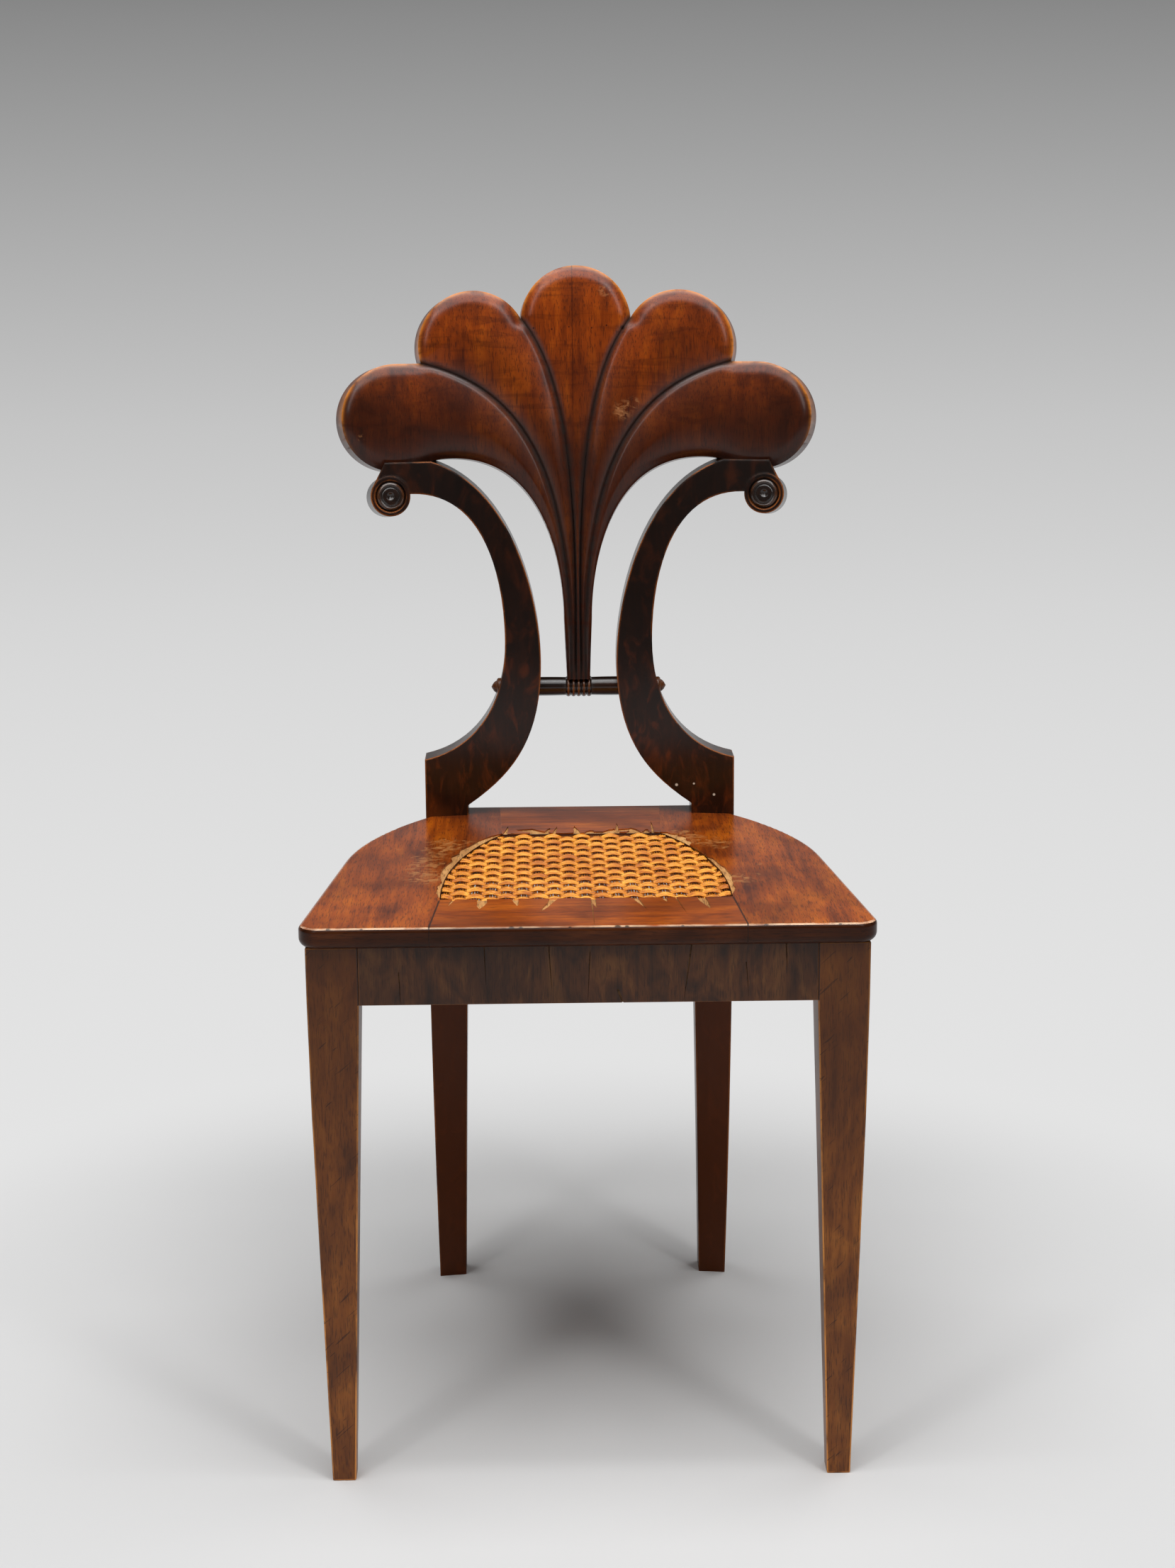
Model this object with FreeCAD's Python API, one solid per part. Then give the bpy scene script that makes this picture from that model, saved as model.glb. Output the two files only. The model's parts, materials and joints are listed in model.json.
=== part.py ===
"""Fan back side chair, in millimetres.

The chair stands on the floor at Z = 0 and faces -Y. The origin lies under the middle of its box.
Each post of the back is one sawn piece with its rear leg. The fan stands on the posts and on the rod.
"""
import math
import os

import FreeCAD
import Part

V = FreeCAD.Vector
ACROSS = V(1, 0, 0)
BACK = V(0, 1, 0)
UP = V(0, 0, 1)

# Seat and rails
seat_height = 455.0
seat_thick = 17.0
veneer = 1.2
seat_half_front = 221.4
seat_nose = 9.0
seat_corner = 18.0
seat_half_turn = 198.5
seat_turn = 205.0
seat_top_edge = 4.0
seat_under_edge = 7.0
rail_height = 46.0
rail_thick = 22.0
tenon_thick = 10.0
tenon_length = 14.0
tenon_shoulder = 6.0
tongue_thick = 6.0
tongue_width = 46.0
tongue_length = 24.0
rail_inset = 3.5
rear_rail_inset = 2.0
block_leg = 46.0
block_lowering = 5.0
seat_joint_splay = 6.0

# Cane panel and the opening it lies in
cane_half_front = 115.0
cane_half_rear = 69.0
cane_front = 74.0
cane_length = 222.0
cane_thick = 4.0
cane_sink = 0.7
cane_column = 12.5
cane_row = 10.6
cane_relief = 1.9
cane_strip = 8.0
cane_ledge = 8.0
cane_clearance = 0.3
cane_front_pull = 100.0
cane_front_bow = 4.0
cane_rear_pull = 44.0
cane_rear_bow = 26.0

# Front legs
front_spread = 214.7
front_leg_size = 40.0
front_foot_spread = 205.3
front_foot_size = 18.6

# Back: sweep in plan, setback of its front face from the front legs, and rake
sweep_radius = 800.0
post_setback = 374.0
post_thick = 30.0
arm_thick = 26.0
rake_reach = 22.0

# Back posts, seen from the front: distances from the middle, and rises above the seat
post_spread = 137.5
post_foot_inner = 99.8
post_foot_step = 9.0
post_foot_rise = 52.0
rear_foot_spread = 134.4
rear_foot_width = 24.2
rear_foot_depth = 24.0
rear_splay = 40.0
waist_inner = 33.5
waist_inner_rise = 137.0
waist_outer = 65.2
waist_outer_rise = 155.0
arm_rise = 313.5
arm_start = 128.0
arm_end = 168.0
bay_end = 145.0
bay_rise = 286.0
volute_out = 163.5
volute_rise = 284.5
volute_radius = 17.5
volute_proud = 1.0
brow_angle = 21.0

# How far the curves of the C run on along their ends before they turn
foot_pull = 36.0
foot_lift = 24.0
belly_pull = 74.0
back_pull = 49.0
arm_pull = 74.0
arm_fall = 24.0
low_bay_pull = 45.0
low_bay_lift = 8.0
waist_pull = 56.0
high_bay_pull = 63.5

# Turned roundels in the scroll ends
roundel_radius = 12.0
roundel_sink = 3.0
roundel_height = 5.0
roundel_channel = 1.6
roundel_rim = 3.0
roundel_hollow = 1.5
roundel_ring = 2.5
roundel_boss = 0.7
roundel_dimple = 1.2

# Rod, its bead collar and the buttons outside the posts
rod_rise = 112.0
rod_radius = 8.5
rod_half_length = 50.0
bead_count = 5
bead_width = 4.6
bead_radius = 9.3
button_radius = 7.8
button_inner = 65.0
button_neck = 72.5
button_tip = 78.0
button_step = 2.6
button_fall = 1.2

# Fan: lobes are circles, placed from the arms that carry them
fan_thick = 24.0
fan_rake = 5.5
lobe_seat = 9.0
outer_lobe_out = 158.5
outer_lobe_radius = 46.5
inner_lobe_out = 90.0
inner_lobe_rise = 98.0
inner_lobe_radius = 48.0
mid_lobe_rise = 119.0
mid_lobe_radius = 48.0
stem_half_top = 12.3
stem_half_foot = 10.1
stem_flare_rise = 61.0
stem_seat = 1.5
sole_angle = 20.5
arch_pull = 101.0
arch_lift = 15.5
flare_pull = 44.0
flute_width = 5.0
flute_depth = 1.8
outer_flute_foot = 6.6
outer_flute_pull = 141.0
outer_flute_bend = 19.0
outer_flute_drop = 27.0
inner_flute_foot = 2.0
inner_flute_pull = 66.0
inner_flute_bend = -8.0
inner_flute_drop = 64.0
dowel_radius = 4.0
dowel_half = 17.0
dowel_out = 150.0
stem_dowel_radius = 3.0
stem_dowel_reach = 30.0
stem_dowel_hold = 5.0

# Heights
seat_under = seat_height - seat_thick
rail_under = seat_under - rail_height
foot_top = seat_height + post_foot_rise
arm_top = seat_height + arm_rise
bay_top = seat_height + bay_rise
volute_z = seat_height + volute_rise
rod_z = seat_height + rod_rise
outer_lobe_z = arm_top + outer_lobe_radius - lobe_seat
inner_lobe_z = arm_top + inner_lobe_rise
mid_lobe_z = arm_top + mid_lobe_rise
fan_top = mid_lobe_z + mid_lobe_radius
stem_flare = rod_z + stem_flare_rise
stem_foot = rod_z + bead_radius - stem_seat

# Radii of the back, measured from the upright axis of its sweep
rake_slope = math.tan(math.radians(fan_rake))
rake_radius = (rake_reach ** 2 + arm_rise ** 2) / (2 * rake_reach)


def post_front(z):
    """Radius of the posts' front face at a height above the seat."""
    return sweep_radius + rake_radius - math.sqrt(rake_radius ** 2 - (z - seat_height) ** 2)


rod_seat = post_front(rod_z) + post_thick / 2
fan_foot = rod_seat - fan_thick / 2


def fan_front(z):
    """Radius of the fan's front face at a height."""
    return fan_foot + (z - rod_z) * rake_slope


fan_depth = fan_thick / math.cos(math.radians(fan_rake))
back_reach = post_setback - sweep_radius + fan_front(fan_top) + fan_thick * math.cos(math.radians(fan_rake))
leg_face = -(back_reach - seat_nose) / 2
axis_y = leg_face + post_setback - sweep_radius
rod_y = axis_y + rod_seat


def sweep_y(radius, x):
    """Where a circle of the sweep lies at a distance from the middle."""
    return axis_y + math.sqrt(radius ** 2 - x ** 2)


def line(p, q):
    return Part.LineSegment(p, q).toShape()


def arc(p, middle, q):
    return Part.Arc(p, middle, q).toShape()


def bend(*poles):
    """A smooth curve from the first pole to the last, drawn towards those between."""
    curve = Part.BezierCurve()
    curve.setPoles(list(poles))
    return curve


def chain(points):
    """Straight edges through the points."""
    return [line(p, q) for p, q in zip(points, points[1:])]


def prism(edges, direction):
    return Part.Face(Part.Wire(edges)).extrude(direction)


def front(x, z):
    return V(x, 0, z)


def plan(x, y):
    return V(x, y, 0)


def mirrored(shape):
    return shape.mirror(V(0, 0, 0), ACROSS)


def from_front(edges):
    """A front outline drawn through the chair from front to back."""
    reach = 2 * back_reach
    return prism(edges, BACK * reach).translated(BACK * -back_reach)


def box(x0, x1, y0, y1, z0, z1):
    return Part.makeBox(x1 - x0, y1 - y0, z1 - z0, V(x0, y0, z0))


def turned(profile, base, direction):
    """A turned piece: a profile of radius (X) and height (Z), spun and set on a base."""
    piece = Part.Face(Part.Wire(profile)).revolve(V(0, 0, 0), UP, 360)
    piece.Placement = FreeCAD.Placement(base, FreeCAD.Rotation(UP, direction))
    return piece


def spun_on_sweep(profile):
    """A profile of radius (X) and height (Z), spun about the sweep's axis over the width of the back."""
    half = 25.0
    face = Part.Face(Part.Wire(profile))
    face.rotate(V(0, 0, 0), UP, 90 - half)
    return face.revolve(V(0, 0, 0), UP, 2 * half).translated(V(0, axis_y, 0))


def tangent_arc(p, heading, q):
    """An arc that leaves p along a heading and ends at q."""
    across = (q - p) - heading * ((q - p).dot(heading) / heading.dot(heading))
    across.normalize()
    radius = (q - p).Length ** 2 / (2 * (q - p).dot(across))
    hub = p + across * radius
    middle = (p + q) / 2 - hub
    return arc(p, hub + middle * (radius / middle.Length), q)


def upright_arc(p, q):
    """An arc of a profile that leaves p upright and ends at q."""
    return tangent_arc(p, UP if q.z > p.z else UP * -1, q)


def largest(shape):
    """The largest of the pieces that a cut leaves."""
    return max(shape.Solids, key=lambda solid: solid.Volume)


def front_leg():
    """Right front leg: upright at the rails, then tapered on three sides."""
    inner = front_spread - front_leg_size
    foot_inner = front_foot_spread - front_foot_size
    third = seat_under / 3
    outer = bend(front(front_foot_spread, 0), front((2 * front_foot_spread + front_spread) / 3, third),
                 front(front_spread, 2 * third), front(front_spread, seat_under))
    edges = chain([front(front_spread, seat_under), front(inner, seat_under), front(inner, rail_under),
                   front(foot_inner, 0), front(front_foot_spread, 0)])
    face = from_front([outer.toShape()] + edges)
    flank = chain([V(0, leg_face, 0), V(0, leg_face + front_foot_size, 0),
                   V(0, leg_face + front_leg_size, rail_under), V(0, leg_face + front_leg_size, seat_under),
                   V(0, leg_face, seat_under), V(0, leg_face, 0)])
    return face.common(prism(flank, ACROSS * (front_spread + front_leg_size)))


def post_profile():
    """Section of the posts through the sweep: splayed leg below the seat, raked arm above it."""
    foot_front = V(sweep_radius + rear_splay, 0, 0)
    foot_back = foot_front + V(rear_foot_depth, 0, 0)
    seat_front = V(sweep_radius, 0, seat_height)
    seat_back = V(sweep_radius + post_thick, 0, seat_height)
    arm_front = V(post_front(arm_top), 0, arm_top)
    arm_back = arm_front + V(arm_thick, 0, 0)
    return [upright_arc(seat_front, foot_front), line(foot_front, foot_back),
            upright_arc(seat_back, foot_back),
            upright_arc(seat_back, arm_back), line(arm_back, arm_front), upright_arc(seat_front, arm_front)]


def post_outline():
    """Right post from the front: rear leg, foot block, and the C that ends in a scroll."""
    foot_outer = front(rear_foot_spread, 0)
    foot_inner = front(rear_foot_spread - rear_foot_width, 0)
    corner = front(post_spread, foot_top)
    waist_out = front(waist_outer, seat_height + waist_outer_rise)
    waist_in = front(waist_inner, seat_height + waist_inner_rise)
    bay = front(bay_end, bay_top)
    eye = front(volute_out, volute_z)
    tilt = math.radians(brow_angle)
    brow = eye + front(volute_radius * math.cos(tilt), volute_radius * math.sin(tilt))
    crest_out = front(arm_end, arm_top)
    crest_in = front(arm_start, arm_top)
    step = front(post_foot_inner, seat_height + post_foot_step)
    sill = front(post_foot_inner, seat_height)
    lower_bay = bend(corner, corner + front(-low_bay_pull, low_bay_lift),
                     waist_out - UP * waist_pull, waist_out)
    upper_bay = bend(waist_out, waist_out + UP * waist_pull, bay - ACROSS * high_bay_pull, bay)
    arm_back = bend(crest_in, crest_in - front(arm_pull, arm_fall), waist_in + UP * back_pull, waist_in)
    belly = bend(waist_in, waist_in - UP * belly_pull, step + front(-foot_pull, foot_lift), step)
    leg = bend(foot_outer, front(post_spread, seat_height / 2), front(post_spread, seat_height), corner)
    return [leg.toShape(), lower_bay.toShape(), upper_bay.toShape(),
            line(bay, eye), line(eye, brow), line(brow, crest_out), line(crest_out, crest_in),
            arm_back.toShape(), belly.toShape(), line(step, sill), line(sill, foot_inner),
            line(foot_inner, foot_outer)]


def volute_frame():
    """Middle of the right scroll's front face, and the way that face looks."""
    radius = post_front(volute_z)
    turn = math.asin(volute_out / radius)
    lean = math.asin((volute_z - seat_height) / rake_radius)
    looks = V(-math.sin(turn) * math.cos(lean), -math.cos(turn) * math.cos(lean), math.sin(lean))
    return V(volute_out, sweep_y(radius, volute_out), volute_z) + looks * volute_proud, looks


def back_post():
    """Right post, before its sockets are cut."""
    middle, looks = volute_frame()
    post = from_front(post_outline()).common(spun_on_sweep(post_profile()))
    volute = Part.makeCylinder(volute_radius, arm_thick + volute_proud, middle, looks * -1)
    sink = Part.makeCylinder(roundel_radius + roundel_channel, roundel_sink, middle, looks * -1)
    return post.fuse(volute).removeSplitter().cut(sink)


def roundel():
    """Right roundel: a turned disc with a round rim, a hollow ring and a dimple."""
    middle, looks = volute_frame()
    rim = roundel_radius - roundel_rim
    ring = rim - roundel_ring
    hollow = roundel_height - roundel_hollow
    boss = hollow + roundel_boss
    dimple = V(0, 0, boss - roundel_dimple)
    crest = V((roundel_radius + rim) / 2, 0, roundel_height)
    profile = chain([dimple, V(0, 0, 0), V(roundel_radius, 0, 0), V(roundel_radius, 0, hollow), crest,
                     V(rim, 0, hollow), V(ring, 0, boss), dimple])
    return turned(profile, middle - looks * roundel_sink, looks)


def rod():
    """Rod with a bead collar in the middle."""
    half = bead_count * bead_width / 2
    points = [V(0, 0, rod_half_length), V(0, 0, -rod_half_length), V(rod_radius, 0, -rod_half_length),
              V(rod_radius, 0, -half)]
    for index in range(bead_count):
        low = index * bead_width - half
        points += [V(bead_radius, 0, low + bead_width / 2), V(rod_radius, 0, low + bead_width)]
    points += [V(rod_radius, 0, rod_half_length), V(0, 0, rod_half_length)]
    return turned(chain(points), V(0, rod_y, rod_z), ACROSS)


def rod_button():
    """Right button: a drum let into the post, a lip and a low dome."""
    lip = V(button_radius - button_step, 0, button_neck + button_fall)
    brow = V(lip.x / 2, 0, button_tip - button_fall)
    tip = V(0, 0, button_tip)
    profile = chain([tip, V(0, 0, button_inner), V(button_radius, 0, button_inner),
                     V(button_radius, 0, button_neck), lip, brow, tip])
    return turned(profile, V(0, rod_y, rod_z), ACROSS)


def circles_meet(x0, z0, r0, x1, z1, r1):
    """Upper point where two circles of the front view cross."""
    gap = math.hypot(x1 - x0, z1 - z0)
    along = (r0 ** 2 - r1 ** 2 + gap ** 2) / (2 * gap)
    rise = math.sqrt(r0 ** 2 - along ** 2)
    ux, uz = (x1 - x0) / gap, (z1 - z0) / gap
    return front(x0 + along * ux - rise * uz, z0 + along * uz + rise * ux)


inner_cusp = circles_meet(0, mid_lobe_z, mid_lobe_radius, inner_lobe_out, inner_lobe_z, inner_lobe_radius)
outer_crown = outer_lobe_z + outer_lobe_radius
outer_cusp_reach = math.sqrt(inner_lobe_radius ** 2 - (outer_crown - inner_lobe_z) ** 2)
outer_cusp = front(inner_lobe_out + outer_cusp_reach, outer_crown)


def fan_outline():
    """The fan from the front: five lobes, two arches and the stem."""
    crown = front(outer_lobe_out, outer_crown)
    tip = front(outer_lobe_out + outer_lobe_radius, outer_lobe_z)
    turn = math.radians(sole_angle)
    sole = front(outer_lobe_out, outer_lobe_z) - front(math.sin(turn), math.cos(turn)) * outer_lobe_radius
    inner_top = front(inner_lobe_out, inner_lobe_z + inner_lobe_radius)
    arch_start = front(arm_start, arm_top)
    flare = front(stem_half_top, stem_flare)
    heel = front(stem_half_foot, stem_foot)
    arch = bend(arch_start, arch_start + front(-arch_pull, arch_lift), flare + UP * flare_pull, flare)
    half = [arc(inner_cusp, inner_top, outer_cusp), line(outer_cusp, crown), arc(crown, tip, sole),
            line(sole, arch_start), arch.toShape(), line(flare, heel)]
    other = [mirrored(edge) for edge in half]
    top = arc(front(-inner_cusp.x, inner_cusp.z), front(0, fan_top), inner_cusp)
    foot = line(heel, front(-heel.x, heel.z))
    return Part.Wire(Part.__sortEdges__(half + other + [top, foot]))


def fan_section(outline, depth):
    """The fan's outline at a depth behind its front face: square to the rake, wider with the sweep."""
    rake = math.radians(fan_rake)
    matrix = FreeCAD.Matrix()
    matrix.A11 = (fan_front(arm_top) + depth) / fan_front(arm_top)
    matrix.A23 = rake_slope
    matrix.A24 = axis_y + fan_front(0) + depth * math.cos(rake)
    matrix.A34 = -depth * math.sin(rake)
    return outline.transformGeometry(matrix)


def fan_layer(near, far):
    """The dished space between two distances behind the fan's front face."""
    low, high = rod_z - fan_thick, fan_top + fan_thick
    corners = [V(fan_front(low) + near, 0, low), V(fan_front(low) + far, 0, low),
               V(fan_front(high) + far, 0, high), V(fan_front(high) + near, 0, high)]
    return spun_on_sweep(chain(corners + corners[:1]))


def flute(cusp, foot, pull, turn, drop):
    """Cutter for one flute: a leaf from the fan's foot to a cusp, cut to an even depth in the dished face."""
    end = cusp + front(flute_width, flute_width / 2)
    sides = []
    for way in (-1, 1):
        ease = way * flute_width / 2
        sides.append(bend(front(foot + ease / 2, rod_z), front(foot + ease, rod_z + pull),
                          front(turn + ease, end.z - drop), end).toShape())
    foot_edge = line(front(foot - flute_width / 4, rod_z), front(foot + flute_width / 4, rod_z))
    return from_front(sides + [foot_edge]).common(fan_layer(-fan_thick, flute_depth))


def fan():
    """The fan: lobed, dished to the sweep, fluted, and let onto the rod."""
    outline = fan_outline()
    reach = 2 * fan_thick
    blank = Part.makeLoft([fan_section(outline, -reach), fan_section(outline, 2 * reach)], True, True)
    piece = blank.common(fan_layer(0, fan_depth))
    outer = flute(outer_cusp, outer_flute_foot, outer_flute_pull, outer_flute_bend, outer_flute_drop)
    inner = flute(inner_cusp, inner_flute_foot, inner_flute_pull, inner_flute_bend, inner_flute_drop)
    for cutter in (outer, inner):
        piece = piece.cut(cutter).cut(mirrored(cutter))
    saddle = Part.makeCylinder(bead_radius, 2 * rod_half_length, V(-rod_half_length, rod_y, rod_z), ACROSS)
    return piece.cut(saddle)


def fan_dowel():
    """Right dowel between the scroll's top and the fan."""
    y = sweep_y(post_front(arm_top) + arm_thick / 2, dowel_out)
    return Part.makeCylinder(dowel_radius, 2 * dowel_half, V(dowel_out, y, arm_top - dowel_half), UP)


def stem_dowel():
    return Part.makeCylinder(stem_dowel_radius, stem_dowel_hold + stem_dowel_reach,
                             V(0, rod_y, rod_z - stem_dowel_hold), UP)


def seat_slab():
    """The whole seat, before it is parted into members: front and sides rounded, rear square."""
    corner = plan(seat_half_front, leg_face - seat_nose)
    turn = plan(seat_half_turn, leg_face + seat_turn)
    along = turn - corner
    along.normalize()
    nose_end = corner - ACROSS * seat_corner
    side_start = corner + along * seat_corner
    side_end = plan(post_spread, sweep_y(sweep_radius, post_spread))
    rear_end = plan(post_foot_inner, sweep_y(sweep_radius + post_thick, post_foot_inner))
    right = [tangent_arc(nose_end, ACROSS, side_start), line(side_start, turn),
             tangent_arc(turn, along, side_end), line(side_end, rear_end)]
    left = [mirrored(edge) for edge in right]
    ends = [line(plan(-nose_end.x, nose_end.y), nose_end), line(plan(-rear_end.x, rear_end.y), rear_end)]
    slab = Part.Face(Part.Wire(Part.__sortEdges__(right + left + ends))).extrude(UP * seat_thick)
    slab.translate(UP * seat_under)
    for height, radius in ((seat_height, seat_top_edge), (seat_under, seat_under_edge)):
        rim = [edge for edge in slab.Edges if edge.BoundBox.ZLength < 0.01
               and abs(edge.CenterOfMass.z - height) < 0.01 and edge.BoundBox.YMin < side_end.y - 1]
        slab = slab.makeFillet(radius, rim)
    return slab


def cane_outline(inset):
    """Opening of the seat: straight at front and back, bowed at the sides."""
    y0 = leg_face + cane_front + inset
    y1 = leg_face + cane_front + cane_length - inset
    x0 = cane_half_front - inset
    x1 = cane_half_rear - inset
    side = bend(plan(x0, y0), plan(x0 + cane_front_bow, y0 + cane_front_pull),
                plan(x1 + cane_rear_bow, y1 - cane_rear_pull), plan(x1, y1)).toShape()
    return [side, line(plan(x1, y1), plan(-x1, y1)), mirrored(side), line(plan(x0, y0), plan(-x0, y0))]


def seat_well(inset, low, high):
    """Upright block of the opening's shape between two heights."""
    wire = Part.Wire(Part.__sortEdges__(cane_outline(inset)))
    return Part.Face(wire).extrude(UP * (high - low)).translated(UP * low)


def seat_region(half, inner_y, outer_y):
    """Block that parts the front or rear member from the sides, mitred at the ledge under the cane."""
    ledge = math.copysign(cane_ledge, inner_y - outer_y)
    right = [plan(half - cane_ledge, inner_y + ledge), plan(half, inner_y),
             plan(half + seat_joint_splay, outer_y)]
    left = [plan(-point.x, point.y) for point in reversed(right)]
    return prism(chain(right + left + right[:1]), UP * (seat_height + seat_thick))


def right_half():
    size = 2 * back_reach
    return box(0, size, -size, size, 0, size)


def seat_tongue(half_width, y):
    """Tongue at the right end of the front or rear member."""
    z = (seat_under + seat_height - veneer) / 2
    return box(half_width - tongue_length, half_width + tongue_length,
               y - tongue_width / 2, y + tongue_width / 2, z - tongue_thick / 2, z + tongue_thick / 2)


def seat_parts(posts):
    """Seat members and veneer sheets, by name."""
    slab = seat_slab().cut(seat_well(cane_ledge, 0, 2 * seat_height))
    slab = slab.cut(seat_well(0, seat_height - cane_sink - cane_thick, 2 * seat_height))
    for post in posts:
        slab = slab.cut(post)
    opening_end = leg_face + cane_front + cane_length
    ahead = seat_region(cane_half_front, leg_face + cane_front, leg_face - 2 * seat_nose)
    behind = seat_region(cane_half_rear, opening_end, opening_end + 2 * post_foot_inner)
    sheet = box(-seat_half_front, seat_half_front, leg_face - seat_nose, leg_face + back_reach,
                seat_height - veneer, seat_height)
    parts = {}
    for layer, stock in (("member", slab.cut(sheet)), ("veneer", slab.common(sheet))):
        parts["seat_" + layer + "_front"] = stock.common(ahead)
        parts["seat_" + layer + "_rear"] = stock.common(behind)
        parts["seat_" + layer + "_right"] = stock.cut(ahead).cut(behind).common(right_half())
    ends = {"front": (cane_half_front, leg_face + cane_front / 2),
            "rear": (cane_half_rear, opening_end + cane_front / 2)}
    for end, (half_width, y) in ends.items():
        tongue = seat_tongue(half_width, y)
        member = parts["seat_member_" + end]
        parts["seat_member_" + end] = member.fuse(tongue).fuse(mirrored(tongue)).removeSplitter()
        parts["seat_member_right"] = parts["seat_member_right"].cut(tongue)
    for layer in ("member", "veneer"):
        parts["seat_" + layer + "_left"] = mirrored(parts["seat_" + layer + "_right"])
    return parts


def cane_arch():
    """One place where a strip of the weave passes over a column."""
    top = seat_height - cane_sink
    foot = top - cane_relief
    run = cane_column / 2
    profile = chain([front(-run, foot), front(-run / 2, top), front(run / 2, top), front(run, foot),
                     front(-run, foot)])
    return prism(profile, BACK * cane_strip)


def cane_panel():
    """Woven cane: a sheet with raised strips that pass over every other column, row by row."""
    top = seat_height - cane_sink
    sheet = seat_well(cane_clearance, top - cane_thick, top - cane_relief)
    arch = cane_arch()
    columns = int(cane_half_front / cane_column)
    arches = []
    for row in range(int(cane_length / cane_row)):
        y = leg_face + cane_front + cane_row * (row + 0.5) - cane_strip / 2
        for column in range(-columns, columns + 1):
            if (row + column) % 2 == 0:
                arches.append(arch.translated(V(column * cane_column, y, 0)))
    weave = Part.makeCompound(arches).common(seat_well(cane_clearance, top - cane_thick, top))
    return sheet.fuse(weave.Solids).removeSplitter()


def rail_tenon(x0, x1, y0, y1):
    return box(x0, x1, y0, y1, rail_under + tenon_shoulder, seat_under - tenon_shoulder)


def front_rail():
    """Front rail with a tenon at each end, set back by its veneer."""
    half = front_spread - front_leg_size
    y0 = leg_face + veneer
    y1 = leg_face + rail_thick
    tongue_y = (y0 + y1 - tenon_thick) / 2
    rail = box(-half, half, y0, y1, rail_under, seat_under)
    return rail.fuse(rail_tenon(-half - tenon_length, half + tenon_length, tongue_y,
                                tongue_y + tenon_thick)).removeSplitter()


def front_rail_veneer():
    half = front_spread - front_leg_size
    return box(-half, half, leg_face, leg_face + veneer, rail_under, seat_under)


def rear_rail():
    """Rear rail with a tenon at each end, near the backs of the posts."""
    y1 = sweep_y(sweep_radius + post_thick, post_spread) - rear_rail_inset
    rail = box(-post_spread, post_spread, y1 - rail_thick, y1, rail_under, seat_under)
    inner = box(-post_foot_inner, post_foot_inner, y1 - rail_thick, y1, 0, seat_height)
    tenon = rail_tenon(-post_foot_inner - tenon_length, post_foot_inner + tenon_length, y1 - tenon_thick, y1)
    return rail, inner, tenon


def side_rail_body():
    """Right side rail, sawn to a curve under the seat's side."""
    ends = (leg_face + front_leg_size, sweep_y(sweep_radius, post_spread) + post_thick / 2)
    outer = (plan(front_spread - rail_inset, ends[0] - rail_inset),
             plan(seat_half_turn - rail_inset, leg_face + seat_turn), plan(post_spread - rail_inset, ends[1]))
    bow = arc(*outer)
    hub, radius = bow.Curve.Center, bow.Curve.Radius
    inner = [hub + (point - hub) * ((radius - rail_thick) / radius) for point in outer]
    edges = [bow, line(outer[2], inner[2]), arc(*inner), line(inner[0], outer[0])]
    return prism(edges, UP * rail_height).translated(UP * rail_under)


def side_rail(leg, post):
    """Right side rail between the legs, with its two tenons."""
    front_x = front_spread - rail_inset - (rail_thick + tenon_thick) / 2
    front_y = leg_face + front_leg_size
    rear_x = post_spread - rail_inset - (rail_thick + tenon_thick) / 2
    rear_y = sweep_y(sweep_radius, rear_x)
    tenons = rail_tenon(front_x, front_x + tenon_thick, front_y - tenon_length, front_y + tenon_length)
    tenons = tenons.fuse(rail_tenon(rear_x, rear_x + tenon_thick, rear_y - tenon_length / 2,
                                    rear_y + tenon_length))
    return side_rail_body().cut(leg).cut(post), tenons


def corner_block(corner, along, across):
    """Glued block in a rail corner: a three-sided prism."""
    edges = chain([corner, corner + along, corner + across, corner])
    low = rail_under + block_lowering
    high = seat_under
    return prism(edges, UP * (high - low)).translated(UP * low)


def build():
    """All pieces, by name."""
    leg = front_leg()
    post = back_post()
    rod_piece = rod()
    button = rod_button()
    disc = roundel()
    dowel = fan_dowel()
    pin = stem_dowel()
    rail_front = front_rail()
    rail_side, side_tenons = side_rail(leg, post)
    rear_body, rear_inner, rear_tenon = rear_rail()
    rail_rear = rear_body.common(rear_inner).cut(post).cut(mirrored(post))
    seat = seat_parts((post, mirrored(post)))

    fan_piece = fan().cut(post).cut(mirrored(post)).cut(pin).cut(dowel).cut(mirrored(dowel))
    parts = {"fan_splat": fan_piece, "cross_rod": rod_piece.cut(pin), "stem_dowel": pin}
    for socket in (rod_piece, button, disc, dowel, side_tenons, rear_tenon):
        post = post.cut(socket)
    for socket in (rail_front, side_tenons):
        leg = leg.cut(socket)
    rail_side = rail_side.fuse(side_tenons).removeSplitter()
    rail_rear = rail_rear.fuse(rear_tenon).removeSplitter()

    block_y = leg_face + rail_thick
    front_block = corner_block(plan(front_spread, block_y), plan(-front_leg_size - block_leg, 0),
                               plan(0, front_leg_size + block_leg))
    rear_y = rail_rear.BoundBox.YMin
    rear_block = corner_block(plan(post_spread, rear_y), plan(-block_leg - rear_foot_width, 0),
                              plan(0, -block_leg - rear_foot_width))
    pairs = {"front_leg": leg, "back_post": post, "side_rail": rail_side, "rod_button": button,
             "roundel": disc,
             "fan_dowel": dowel, "corner_block_front": largest(front_block.cut(leg).cut(rail_side)),
             "corner_block_rear": largest(rear_block.cut(post).cut(rail_side))}
    for name, shape in pairs.items():
        parts[name + "_right"] = shape
        parts[name + "_left"] = mirrored(shape)
    parts["front_rail"] = rail_front
    parts["front_rail_veneer"] = front_rail_veneer()
    parts["rear_rail"] = rail_rear
    parts["cane_panel"] = cane_panel()
    parts.update(seat)
    return parts


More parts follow.
